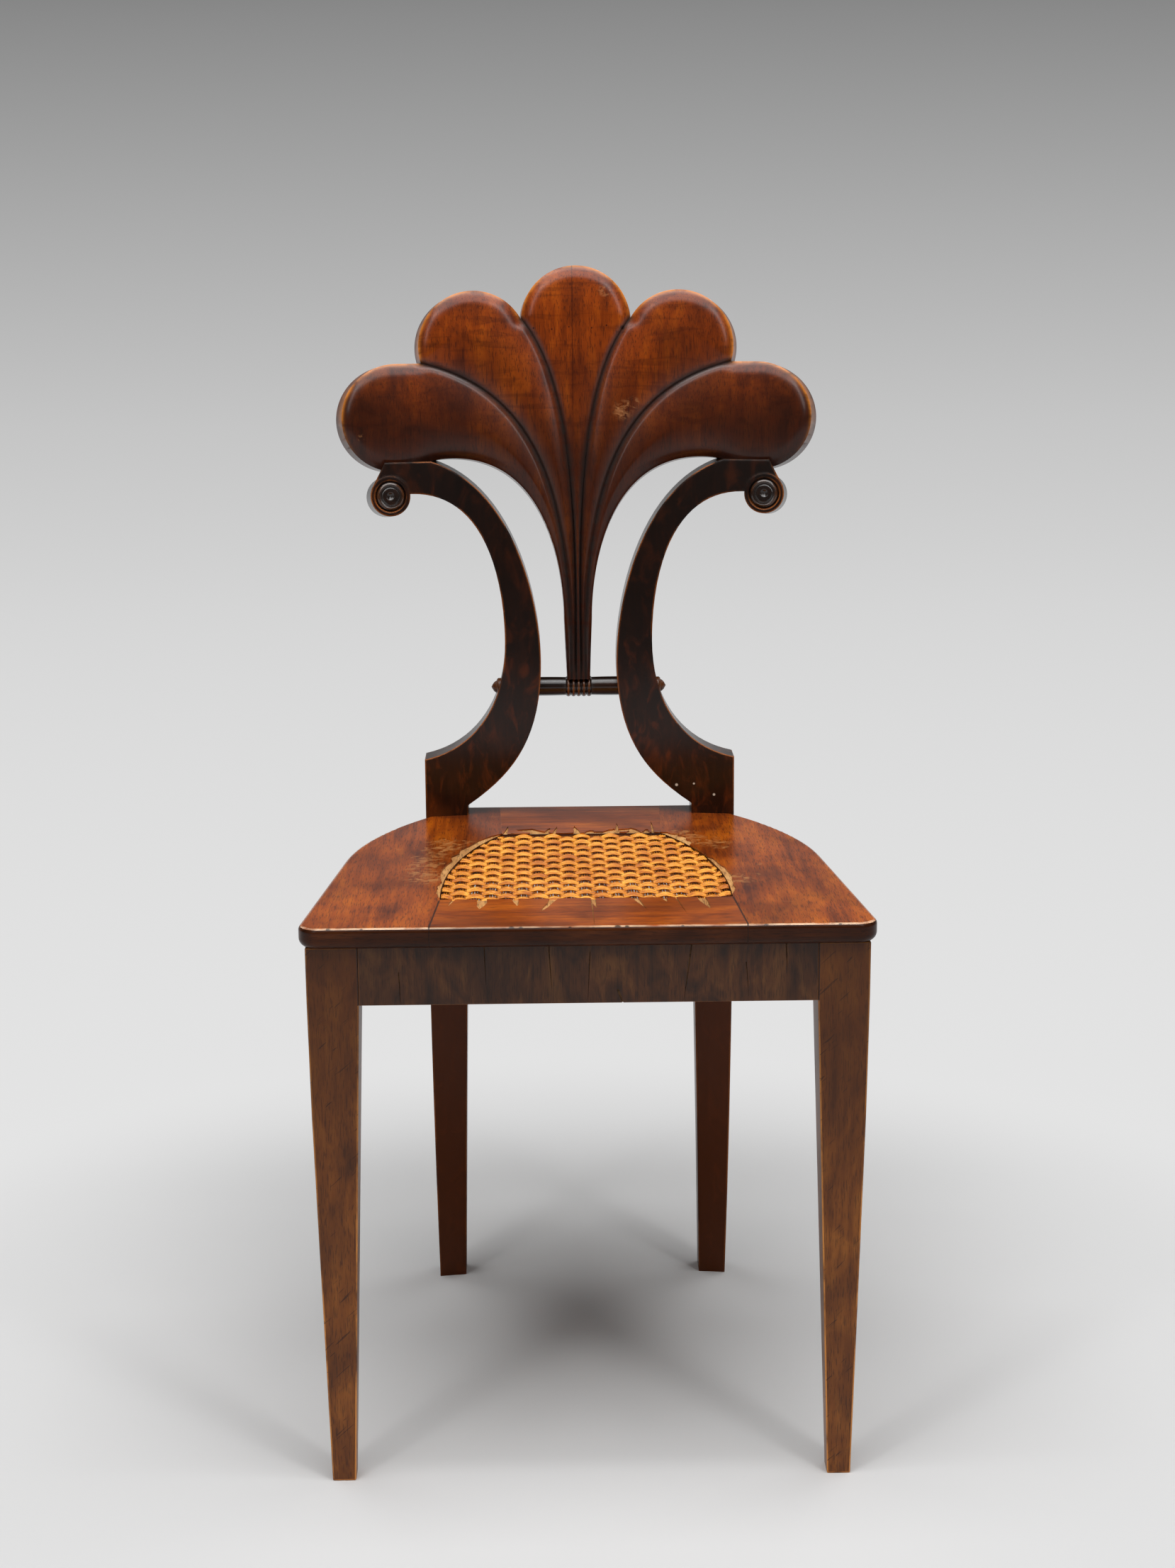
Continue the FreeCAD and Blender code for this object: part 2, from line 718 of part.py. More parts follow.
os.makedirs("parts", exist_ok=True)
for name, shape in build().items():
    shape.exportStep("parts/" + name + ".step")
    print(name, shape.ShapeType, len(shape.Solids), shape.isValid(), round(shape.Volume))
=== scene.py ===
"""Fan back side chair in polished walnut with a woven cane seat, in the frame of its CAD model."""
import json
import math

import bmesh
import bpy
from mathutils import Matrix, Vector, kdtree, noise


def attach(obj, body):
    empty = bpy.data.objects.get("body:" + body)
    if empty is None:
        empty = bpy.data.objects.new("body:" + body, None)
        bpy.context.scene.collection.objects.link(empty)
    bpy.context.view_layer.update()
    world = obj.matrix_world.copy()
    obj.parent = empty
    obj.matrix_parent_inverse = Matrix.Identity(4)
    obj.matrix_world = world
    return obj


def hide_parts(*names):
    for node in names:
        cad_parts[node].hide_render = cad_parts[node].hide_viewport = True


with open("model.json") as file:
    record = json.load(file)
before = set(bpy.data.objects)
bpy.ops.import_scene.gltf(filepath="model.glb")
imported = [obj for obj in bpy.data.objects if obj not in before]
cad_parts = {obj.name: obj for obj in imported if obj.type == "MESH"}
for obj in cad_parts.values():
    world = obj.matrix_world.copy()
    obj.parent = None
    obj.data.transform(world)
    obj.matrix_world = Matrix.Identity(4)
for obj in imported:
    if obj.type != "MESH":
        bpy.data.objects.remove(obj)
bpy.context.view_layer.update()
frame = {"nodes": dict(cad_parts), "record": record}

MM = 0.001

# Sizes of the chair, in millimetres, as in its CAD model
SEAT = 455.0
LEG_FACE = -215.084
SWEEP_AXIS = LEG_FACE + 374.0 - 800.0
ROD_Z = 567.0
ARM_TOP = 768.5
VOLUTE_X, VOLUTE_Z = 163.5, 739.5
FAN_THICK = 24.0
RAIL_UNDER = 392.0
LEG_MIDDLE = 190.0
CANE_FRONT = LEG_FACE + 74.0
CANE_REAR = CANE_FRONT + 222.0
CANE_HALF_FRONT = 115.0
JOINT_SPLAY = 6.0 / 92.0
RAKE = math.radians(5.5)
RAKE_RADIUS = (22.0 ** 2 + 313.5 ** 2) / (2 * 22.0)


def post_front(z):
    """Radius of the posts' front face about the sweep's axis."""
    return 800.0 + RAKE_RADIUS - math.sqrt(RAKE_RADIUS ** 2 - (z - SEAT) ** 2)


ROD_RADIUS = post_front(ROD_Z) + 15.0
ROD_Y = SWEEP_AXIS + ROD_RADIUS


def fan_front(z):
    """Radius of the fan's front face about the sweep's axis."""
    return ROD_RADIUS - FAN_THICK / 2 + (z - ROD_Z) * math.tan(RAKE)


def linear(code):
    """An sRGB hex colour as linear values."""
    parts = [int(code[i:i + 2], 16) / 255 for i in (0, 2, 4)]
    return tuple(c / 12.92 if c <= 0.04045 else ((c + 0.055) / 1.055) ** 2.4 for c in parts) + (1.0,)


def add(tree, kind, wires=None, **settings):
    """Adds a shader node with its settings, then sets or links its inputs."""
    made = tree.nodes.new("ShaderNode" + kind)
    for key, value in settings.items():
        setattr(made, key, value)
    for key, value in (wires or {}).items():
        if isinstance(value, bpy.types.NodeSocket):
            tree.links.new(value, made.inputs[key])
        else:
            made.inputs[key].default_value = value
    return made


def lay_over(tree, below, shade, field, low, high, share=1.0, ease="SMOOTHSTEP"):
    """Lays a shade over a colour: none of it where the field is at low, its whole share at high."""
    amount = add(tree, "MapRange", {"Value": field, "From Min": low, "From Max": high, "To Max": share},
                 interpolation_type=ease)
    laid = add(tree, "Mix", {0: amount.outputs[0], 6: below, 7: linear(shade)}, data_type="RGBA")
    return laid.outputs[2]


def graded(tree, field, shades):
    """Goes evenly from shade to shade, each given with its level in the field."""
    colour = linear(shades[0][1])
    for (low, _), (high, shade) in zip(shades, shades[1:]):
        colour = lay_over(tree, colour, shade, field, low, high, ease="LINEAR")
    return colour


def grain(tree, place, axis, across_mm, along, detail=3.0, distortion=0.0):
    """A wood pattern whose cells are across_mm wide and so many times longer along the grain."""
    scale = [1.0, 1.0, 1.0]
    scale[axis] = 1.0 / along
    drawn = add(tree, "Mapping", {"Vector": place, "Scale": scale})
    cells = add(tree, "TexNoise", {"Vector": drawn.outputs[0], "Scale": 1.0 / (across_mm * MM),
                                   "Detail": detail, "Roughness": 0.55, "Distortion": distortion})
    return cells.outputs["Fac"]


def marked(tree, colour, shade, place, marks, share):
    """Lays a shade over round marks with soft edges, given as (x, y, z, size) in millimetres."""
    for x, y, z, size in marks:
        gap = add(tree, "VectorMath", {0: place, 1: (x * MM, y * MM, z * MM)}, operation="DISTANCE")
        colour = lay_over(tree, colour, shade, gap.outputs["Value"], size * MM, 0.4 * size * MM, share)
    return colour


def new_material(name):
    """An empty material and where its patterns lie: on the chair itself, in metres."""
    material = bpy.data.materials.new(name)
    material.use_nodes = True
    tree = material.node_tree
    tree.nodes.clear()
    return material, tree, add(tree, "TexCoord").outputs["Object"]


def finish_material(tree, colour, roughness, coat, bump, shine=0.25, coat_roughness=0.16):
    """Puts a colour under a coat of polish."""
    shader = add(tree, "BsdfPrincipled", {"Base Color": colour, "Roughness": roughness, "Normal": bump,
                                          "Coat Weight": coat, "Coat Roughness": coat_roughness,
                                          "Specular IOR Level": shine})
    add(tree, "OutputMaterial", {"Surface": shader.outputs[0]})


X_GRAIN, Y_GRAIN, Z_GRAIN = 0, 1, 2
# Shades of each walnut: dark, middle, light, and where its edges are worn; on the seat's rim this last is a
# painted highlight, on the fan's rims partly one
LEG_SHADES = ("52290a", "7c4312", "985a1d", "d48a40")
FAN_SHADES = ("4a1904", "823506", "a64e0a", "cc7c32")
SEAT_SHADES = ("582106", "9e480a", "c8680e", "ecc9a4")
POST_SHADES = ("150803", "260f05", "3c1a08", "d08a48")
ROD_SHADES = ("100906", "1a0e08", "2e170c", "b06a34")
RAIL_SHADES = ("24120a", "502c14", "6b4320", "8a5a34")
NOSING_SHADES = ("2a1206", "45200b", "5e3012", "a05f2a")
GROUND_SHADES = ("9a6a3a", "c08a52", "d6a468", "d6a468")
BEECH_SHADES = ("5e4128", "7d5a39", "94704b", "a88460")


def polished_walnut(tree, place, axis, shades, roughness, figure_mm):
    """Colour, roughness and relief of walnut: figure, streaks, pores, edges pale from being worn and from a
    painted highlight, painted shade, dirt and painted shade in hollows.
    """
    dark, mid, light, worn = shades
    figure = grain(tree, place, axis, figure_mm, 2.6, distortion=1.2)
    streak = grain(tree, place, axis, 5.0, 26.0, detail=4.0, distortion=0.3)
    blend = add(tree, "Mix", {0: 0.35, 2: figure, 3: streak}).outputs[0]
    colour = graded(tree, blend, ((0.32, dark), (0.50, mid), (0.68, light)))
    cloud = grain(tree, place, axis, 95.0, 1.2, detail=2.0, distortion=0.8)
    colour = lay_over(tree, colour, dark, cloud, 0.42, 0.68, 0.55)
    # Walnut's pores are finer than this: they are drawn 0.8 mm wide so that they show
    pores = grain(tree, place, axis, 0.8, 14.0, detail=2.0)
    colour = lay_over(tree, colour, "1a0d08", pores, 0.54, 0.62, 0.5)
    # Painted shade where a piece marks it: on the fan, darker towards the stem, the outer lobes and the back
    painted_shade = add(tree, "Attribute", attribute_name="painted_shade").outputs["Fac"]
    colour = lay_over(tree, colour, "1c0e08", painted_shade, 0.0, 1.0, 0.88, ease="LINEAR")
    # Pale edges: worn arrises, and a painted highlight on the seat's rim and partly on the fan's rims
    rubbed = add(tree, "Attribute", attribute_name="wear_and_highlight").outputs["Fac"]
    patches = grain(tree, place, axis, 22.0, 2.0, detail=4.0)
    colour = lay_over(tree, colour, worn, patches, 0.32, 0.55, rubbed)
    # Dirt and painted shade in flutes and gullies, and dark joints; its grey also paints the sheen in the
    # fan's flutes
    dirt = add(tree, "Attribute", attribute_name="dirt_and_painted_shade").outputs["Fac"]
    colour = lay_over(tree, colour, "2c2725", dirt, 0.0, 1.0, 0.92, ease="LINEAR")
    rough = add(tree, "MapRange", {"Value": cloud, "To Min": roughness - 0.05, "To Max": roughness + 0.1})
    bump = add(tree, "Bump", {"Height": pores, "Strength": 0.05, "Distance": 0.4 * MM})
    wave = grain(tree, place, axis, 34.0, 2.0, detail=1.0)
    bump = add(tree, "Bump", {"Height": wave, "Strength": 0.1, "Distance": 2.0 * MM,
                              "Normal": bump.outputs[0]})
    return colour, rough.outputs["Result"], bump.outputs[0]


def walnut(name, axis, shades, roughness, coat, figure_mm, shine=0.25):
    """French polished walnut: brown with dark streaks and a soft sheen, orange on its rubbed edges."""
    material, tree, place = new_material(name)
    colour, rough, bump = polished_walnut(tree, place, axis, shades, roughness, figure_mm)
    finish_material(tree, colour, rough, coat, bump, shine)
    return material


def leg_polish(name):
    """Walnut of the legs: darker towards the seat with painted shade, with fine dark scratches lower down."""
    material, tree, place = new_material(name)
    colour, rough, bump = polished_walnut(tree, place, Z_GRAIN, LEG_SHADES, 0.38, 26.0)
    height = add(tree, "SeparateXYZ", {0: place}).outputs["Z"]
    # Painted shade: darker towards the seat, under its overhang
    colour = lay_over(tree, colour, "3e1d0a", height, 0.16, 0.40, 0.55)
    slant = add(tree, "Mapping", {"Vector": place, "Rotation": (0.5, 0.7, 0.3)}).outputs[0]
    scratch = grain(tree, slant, X_GRAIN, 1.6, 16.0, detail=1.0, distortion=0.4)
    colour = lay_over(tree, colour, "2a1408", scratch, 0.69, 0.73, 0.7)
    finish_material(tree, colour, rough, 0.15, bump)
    return material


# Marks on the fan, in front view: a row of pinholes across the middle lobe, and spots rubbed pale
PINHOLES = ((-37, 0, 882, 1.2), (-21, 0, 881, 1.0), (-6, 0, 883, 0.9), (14, 0, 882, 1.0), (27, 0, 884, 1.1),
            (41, 0, 882, 2.6))
RUBS = ((41, 0, 811, 11.0), (50, 0, 817, 7.0), (25, 0, 914, 7.0), (-188, 0, 790, 4.0))
GLUE_LINE_X = -3.0


def fan_polish(name):
    """Walnut of the fan: ripples across the grain, dark clouds on the outer lobes, and its marks."""
    material, tree, place = new_material(name)
    colour, rough, bump = polished_walnut(tree, place, Z_GRAIN, FAN_SHADES, 0.3, 46.0)
    where = add(tree, "SeparateXYZ", {0: place}).outputs
    ripple = grain(tree, place, X_GRAIN, 6.0, 8.0, detail=2.0, distortion=0.6)
    colour = lay_over(tree, colour, "3c1404", ripple, 0.50, 0.68, 0.38)
    spread = add(tree, "Math", {0: where["X"]}, operation="ABSOLUTE").outputs[0]
    outer = add(tree, "MapRange", {"Value": spread, "From Min": 50.0 * MM, "From Max": 125.0 * MM,
                                   "To Min": 0.1, "To Max": 0.5}).outputs[0]
    clouds = grain(tree, place, X_GRAIN, 24.0, 2.2, detail=4.0, distortion=1.6)
    colour = lay_over(tree, colour, "220b04", clouds, 0.48, 0.70, outer)
    offset = add(tree, "Math", {0: where["X"], 1: GLUE_LINE_X * MM}, operation="SUBTRACT").outputs[0]
    aside = add(tree, "Math", {0: offset}, operation="ABSOLUTE").outputs[0]
    upper = add(tree, "MapRange", {"Value": where["Z"], "From Min": 0.80, "From Max": 0.83, "To Max": 0.6})
    colour = lay_over(tree, colour, "2a1006", aside, 0.7 * MM, 0.2 * MM, upper.outputs[0])
    flat = add(tree, "VectorMath", {0: place, 1: (1.0, 0.0, 1.0)}, operation="MULTIPLY").outputs[0]
    colour = marked(tree, colour, "1a0a05", flat, PINHOLES, 0.85)
    rag = grain(tree, place, X_GRAIN, 4.5, 1.3, detail=8.0, distortion=1.0)
    bare = add(tree, "MapRange", {"Value": rag, "From Min": 0.44, "From Max": 0.72, "To Max": 0.6})
    colour = marked(tree, colour, "c88a58", flat, RUBS, bare.outputs[0])
    finish_material(tree, colour, rough, 0.45, bump, 0.08, 0.22)
    return material


# Dark chips along the seat's front arris: (x, size)
FRONT_ARRIS = (LEG_FACE - 8.0, SEAT - 1.0)
CHIPS = ((-196, 2.6), (-171, 1.8), (-58, 3.0), (-51, 2.2), (-14, 1.6), (22, 3.4), (29, 2.4), (71, 1.8),
         (134, 2.4), (190, 2.0))
# Places on the seat, from above, where the polish is scuffed through: (x, y, size)
SCUFFS = ((-112, 46, 30), (-121, 16, 26), (-128, -14, 26), (-132, -46, 28), (-128, -80, 30), (108, 42, 36),
          (88, 70, 24), (124, -84, 26))


def seat_walnut(name, axis):
    """Worn seat veneer: red-brown, with painted shade at the rear edge, dark at the front joints, scuffed
    beside the cane.
    """
    material, tree, place = new_material(name)
    colour, rough, bump = polished_walnut(tree, place, axis, SEAT_SHADES, 0.3, 60.0)
    broad = grain(tree, place, axis, 70.0, 2.2, distortion=0.8)
    colour = lay_over(tree, colour, "4a1c08", broad, 0.48, 0.72, 0.55)
    where = add(tree, "SeparateXYZ", {0: place}).outputs
    # Painted shade: darker towards the rear edge, under the back
    colour = lay_over(tree, colour, "2c140b", where["Y"], 0.135, 0.178, 0.5)
    spread = add(tree, "Math", {0: where["X"]}, operation="ABSOLUTE").outputs[0]
    slanted = add(tree, "Math", {0: where["Y"], 1: JOINT_SPLAY, 2: spread}, operation="MULTIPLY_ADD")
    joint = (CANE_HALF_FRONT + JOINT_SPLAY * CANE_FRONT) * MM
    offset = add(tree, "Math", {0: slanted.outputs[0], 1: joint}, operation="SUBTRACT").outputs[0]
    beside = add(tree, "Math", {0: offset}, operation="ABSOLUTE").outputs[0]
    before = add(tree, "MapRange", {"Value": where["Y"], "From Min": CANE_FRONT * MM,
                                    "From Max": (CANE_FRONT - 4.0) * MM, "To Max": 0.85})
    colour = lay_over(tree, colour, "1c0c06", beside, 1.0 * MM, 0.4 * MM, before.outputs[0])
    rag = grain(tree, place, X_GRAIN, 7.0, 1.3, detail=8.0, distortion=1.0)
    for x, y, size in SCUFFS:
        gap = add(tree, "VectorMath", {0: place, 1: (x * MM, y * MM, SEAT * MM)}, operation="DISTANCE")
        lift = add(tree, "MapRange", {"Value": gap.outputs["Value"], "From Min": size * MM,
                                      "From Max": 0.3 * size * MM, "To Max": 0.2},
                   interpolation_type="SMOOTHSTEP")
        rag = add(tree, "Math", {0: rag, 1: lift.outputs[0]}).outputs[0]
    colour = lay_over(tree, colour, "b87c46", rag, 0.64, 0.86, 0.7)
    chips = [(x, *FRONT_ARRIS, size) for x, size in CHIPS]
    colour = marked(tree, colour, "1c0c06", place, chips, 0.85)
    finish_material(tree, colour, rough, 0.25, bump)
    return material


# Pale specks on the front of the right foot block: (x, z, size)
SPECKS = ((86.6, 480.4, 1.7), (102.0, 481.7, 1.2), (119.9, 472.1, 1.5))


def post_stain(name):
    """Stained walnut of the posts: brown legs, mottled above the seat, nearly black towards the scrolls."""
    material, tree, place = new_material(name)
    colour, rough, _ = polished_walnut(tree, place, Z_GRAIN, POST_SHADES, 0.32, 34.0)
    mottle = grain(tree, place, Z_GRAIN, 13.0, 2.2, detail=5.0, distortion=1.0)
    colour = lay_over(tree, colour, "5e2809", mottle, 0.48, 0.74, 0.75)
    height = add(tree, "SeparateXYZ", {0: place}).outputs["Z"]
    drift = grain(tree, place, Z_GRAIN, 60.0, 1.6)
    level = add(tree, "Math", {0: drift, 1: 0.22, 2: height}, operation="MULTIPLY_ADD").outputs[0]
    colour = lay_over(tree, colour, "0f0805", level, 0.60, 0.78, 0.72)
    colour = lay_over(tree, colour, "5a2a0c", level, 0.57, 0.52, 0.75)
    polish = add(tree, "MapRange", {"Value": level, "From Min": 0.52, "From Max": 0.60,
                                    "To Min": 0.04, "To Max": 0.5})
    # Rubbed arrises: where a rounded edge would face another way than the sawn faces do
    soft = add(tree, "Bevel", {"Radius": 3.0 * MM}, samples=8).outputs[0]
    plain = add(tree, "NewGeometry").outputs["Normal"]
    turn = add(tree, "VectorMath", {0: soft, 1: plain}, operation="DOT_PRODUCT").outputs["Value"]
    patches = grain(tree, place, Z_GRAIN, 26.0, 2.4, detail=4.0)
    rubbed = add(tree, "MapRange", {"Value": patches, "From Min": 0.36, "From Max": 0.58, "To Max": 0.75},
                 interpolation_type="SMOOTHSTEP").outputs[0]
    colour = lay_over(tree, colour, "b4662c", turn, 0.985, 0.87, rubbed)
    specks = [(x, SWEEP_AXIS + math.sqrt(post_front(z) ** 2 - x ** 2), z, size) for x, z, size in SPECKS]
    colour = marked(tree, colour, "d8cbb8", place, specks, 0.9)
    eased = add(tree, "Bump", {"Height": rubbed, "Strength": 0.13, "Distance": 2.0 * MM, "Normal": soft})
    finish_material(tree, colour, rough, polish.outputs[0], eased.outputs[0], 0.12)
    return material


fan_walnut = fan_polish("french polished walnut")
post_walnut = post_stain("dark stained walnut")
rod_walnut = walnut("dark turned walnut", X_GRAIN, ROD_SHADES, 0.24, 0.6, 20.0)
leg_walnut = leg_polish("walnut leg")
rail_veneer = walnut("upright walnut veneer", Z_GRAIN, RAIL_SHADES, 0.4, 0.2, 18.0)
seat_front_walnut = seat_walnut("walnut seat veneer", X_GRAIN)
seat_side_walnut = seat_walnut("walnut seat veneer, sides", Y_GRAIN)
nosing_walnut = walnut("walnut seat edge", X_GRAIN, NOSING_SHADES, 0.3, 0.1, 30.0, 0.12)
ground_wood = walnut("bare ground wood", Y_GRAIN, GROUND_SHADES, 0.6, 0.0, 20.0)
beech = walnut("bare beech", X_GRAIN, BEECH_SHADES, 0.6, 0.0, 40.0)


# Angles between faces, in degrees: below the first they are shaded as one, above the second is an arris
SMOOTH_BELOW = 40.0
SHARP_ARRIS = 28.0


def dress(name, bm, material, body_slot, *stands_for):
    """Makes a mesh a piece of the chair, with its finish and the nodes that it stands for."""
    mesh = bpy.data.meshes.new(name)
    bm.normal_update()
    bm.to_mesh(mesh)
    bm.free()
    for face in mesh.polygons:
        face.use_smooth = True
    mesh.set_sharp_from_angle(angle=math.radians(SMOOTH_BELOW))
    mesh.materials.append(material)
    piece = bpy.data.objects.new(name, mesh)
    bpy.context.scene.collection.objects.link(piece)
    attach(piece, "root")
    if stands_for:
        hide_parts(*stands_for)
    return piece


def eased_copy(node, ease_mm):
    """A copy of a sawn or turned node with its arrises eased, and the eased faces marked as worn."""
    bm = bmesh.new()
    bm.from_mesh(frame["nodes"][node].data)
    bmesh.ops.remove_doubles(bm, verts=bm.verts, dist=0.02 * MM)
    bmesh.ops.dissolve_limit(bm, angle_limit=math.radians(0.4), verts=bm.verts, edges=bm.edges)
    bm.normal_update()
    wear_and_highlight = bm.faces.layers.float.new("wear_and_highlight")
    bm.faces.layers.float.new("dirt_and_painted_shade")
    arris = [edge for edge in bm.edges if edge.is_manifold and edge.is_convex
             and edge.calc_face_angle() > math.radians(SHARP_ARRIS)]
    made = bmesh.ops.bevel(bm, geom=arris, offset=ease_mm * MM, offset_type="OFFSET", affect="EDGES",
                           segments=2, profile=0.5, material=-1, clamp_overlap=True)
    for face in made["faces"]:
        face[wear_and_highlight] = 1.0
    return bm


def dirty_joint(piece, inside):
    """Marks the eased faces of a joint as dirty instead of rubbed."""
    marks = piece.data.attributes
    for face, rubbed, dirty in zip(piece.data.polygons, marks["wear_and_highlight"].data, marks["dirt_and_painted_shade"].data):
        if rubbed.value > 0 and inside(face.center / MM):
            rubbed.value = 0.0
            dirty.value = 1.0


def paint_rim_highlight(piece):
    """Marks the rounded rim of a seat veneer with a pale painted highlight, strongest along its front."""
    for face, rubbed in zip(piece.data.polygons, piece.data.attributes["wear_and_highlight"].data):
        on_rim = 0.2 < face.normal.z < 0.96
        rubbed.value = on_rim * (0.7 if face.normal.y < -0.2 else 0.15)


def eased_piece(node, material, ease_mm):
    """Puts an eased copy of a node in its place."""
    slot = next(part["material_slot"] for part in frame["record"]["subparts"] if part["node"] == node)
    piece = dress(node + "_eased", eased_copy(node, ease_mm), material, slot, node)
    piece.modifiers.new("even light", "WEIGHTED_NORMAL").keep_sharp = True
    return piece


def bezier(poles, t):
    """Point of a cubic curve."""
    a, b, c, d = poles
    u = 1 - t
    return a * u ** 3 + b * (3 * u * u * t) + c * (3 * u * t * t) + d * t ** 3


CANE_SIDE = (Vector((CANE_HALF_FRONT, CANE_FRONT)), Vector((119.0, CANE_FRONT + 100.0)),
             Vector((95.0, CANE_REAR - 44.0)), Vector((69.0, CANE_REAR)))


def ragged(points, size, seed):
    """Points with their places shaken a little, the same way each time."""
    shaken = []
    for index, point in enumerate(points):
        at = Vector((index * 1.7 + seed, seed * 3.1, 0.4))
        shaken.append(point + Vector((noise.noise(at), noise.noise(at + Vector((9, 4, 2))))) * size)
    return shaken


def split_off(start, tip, width, seed):
    """Outline of a splinter lost from the veneer: wide at the cane, pointed at the tip."""
    way = tip - start
    aside = Vector((-way.y, way.x)).normalized() * width / 2
    inside = start - way.normalized() * 3
    left = [start + way * t + aside * (1 - t) ** 0.7 for t in (0.0, 0.35, 0.7)]
    right = [start + way * t - aside * (1 - t) ** 0.7 for t in (0.7, 0.35, 0.0)]
    middle = ragged(left + [tip] + right, 0.22 * width, seed)
    return [inside + aside] + middle + [inside - aside]


def worn_strip(side, start, stop, width, seed):
    """Outline of veneer lost along the side of the cane."""
    steps = 14
    inner, outer = [], []
    for step in range(steps + 1):
        t = start + (stop - start) * step / steps
        point = bezier(CANE_SIDE, t)
        ahead = (bezier(CANE_SIDE, t + 0.01) - point).normalized()
        aside = Vector((ahead.y, -ahead.x))
        fade = math.sin(math.pi * step / steps) ** 0.5
        spread = width * fade * (0.75 + 0.5 * noise.noise(Vector((seed, step * 0.9, 0.2)))) + 0.2
        inner.append(point - aside * 3)
        outer.append(point + aside * spread)
    return [Vector((side * point.x, point.y)) for point in inner + outer[::-1]]


# Splinters: where each starts on the cane's edge, how far its tip lies from there, and its width
FRONT_SPLINTERS = ((-82, -1, -30, 9), (-56, 2, -22, 6), (-26, -9, -38, 7), (4, 0.5, -84, 1.2),
                   (5, 2, -30, 5), (38, 8, -36, 5), (61, 1, -14, 4), (90, 5, -36, 7), (70, 6, -50, 1.2),
                   (-104, -4, -20, 3))
REAR_SPLINTERS = ((-66, 2, 26, 4), (-42, 1, 10, 5), (-31, 4, 18, 4), (-24, 3, 22, 3), (-4, -2, 24, 7),
                  (8, 2, 8, 10), (26, 3, 14, 4), (31, 0.5, 34, 4), (45, 2, 12, 12), (62, 0, 40, 2.4),
                  (56, 1, 10, 7), (-34, 4, 7, 44), (22, -3, 7, 56))
# Strips: the side, where each starts and stops along the cane's edge, and its width
SIDE_STRIPS = ((-1, 0.18, 0.98, 9.0), (-1, 0.02, 0.2, 4.0), (1, 0.7, 0.99, 10.0), (1, 0.03, 0.5, 6.0))


def cutter_of(outlines, place, start, depth):
    """A cutter with the outlines set upright on a plane, from a start level and so deep."""
    bm = bmesh.new()
    for outline in outlines:
        face = bm.faces.new([bm.verts.new(place(point, start) * MM) for point in outline])
        made = bmesh.ops.extrude_face_region(bm, geom=[face], use_keep_orig=True)
        raised = [item for item in made["geom"] if isinstance(item, bmesh.types.BMVert)]
        bmesh.ops.translate(bm, verts=raised, vec=place(Vector((0, 0)), depth) * MM)
    bmesh.ops.recalc_face_normals(bm, faces=bm.faces)
    mesh = bpy.data.meshes.new("losses")
    bm.to_mesh(mesh)
    bm.free()
    cutter = bpy.data.objects.new("losses", mesh)
    bpy.context.scene.collection.objects.link(cutter)
    return cutter


def seat_losses():
    """Every splinter and strip that is missing from the seat's veneer."""
    outlines = []
    for edge_y, splinters in ((CANE_FRONT, FRONT_SPLINTERS), (CANE_REAR, REAR_SPLINTERS)):
        for x, aside, away, width in splinters:
            start = Vector((x, edge_y))
            outlines.append(split_off(start, start + Vector((aside, away)), width, x * 0.37))
    for index, (side, start, stop, width) in enumerate(SIDE_STRIPS):
        outlines.append(worn_strip(side, start, stop, width, index * 5.3))
    return cutter_of(outlines, lambda point, level: Vector((point.x, point.y, level)), SEAT - 2.2, 4.0)


# Cracks in the front rail's veneer: where each starts below the seat, its lean, its length and its width
RAIL_CRACKS = ((-144, 415, 1, -24, 0.9), (-79, 436, 1, -30, 1.1), (-30, 436, 2, -34, 1.1),
               (1, 430, -2, -40, 0.8), (23, 400, 7, -20, 1.5), (78, 436, -6, -46, 1.1),
               (120, 420, 2, -26, 0.8), (150, 436, 1, -22, 1.0))


def rail_losses():
    """Fine cracks along the upright grain of the front rail's veneer."""
    outlines = [split_off(Vector((x, z)), Vector((x + lean, z + fall)), width, x * 0.11)
                for x, z, lean, fall, width in RAIL_CRACKS]
    return cutter_of(outlines, lambda point, level: Vector((point.x, level, point.y)), LEG_FACE - 2.0, 8.0)


def cut_away(piece, cutter):
    """Cuts the cutter's shape from a piece for good."""
    piece.modifiers.clear()
    cut = piece.modifiers.new("losses", "BOOLEAN")
    cut.object = cutter
    cut.solver = "EXACT"
    cut.use_self = True
    bpy.context.view_layer.update()
    shown = piece.evaluated_get(bpy.context.evaluated_depsgraph_get())
    mesh = bpy.data.meshes.new_from_object(shown)
    piece.modifiers.clear()
    piece.data = mesh
    mesh.set_sharp_from_angle(angle=math.radians(SMOOTH_BELOW))
    piece.modifiers.new("even light", "WEIGHTED_NORMAL").keep_sharp = True


def show_ground_wood(piece):
    """The top of a seat member is bare wood, seen where veneer is lost."""
    piece.data.materials.append(ground_wood)
    for face in piece.data.polygons:
        if face.normal.z > 0.9 and face.center.z > (SEAT - 1.4) * MM:
            face.material_index = 1


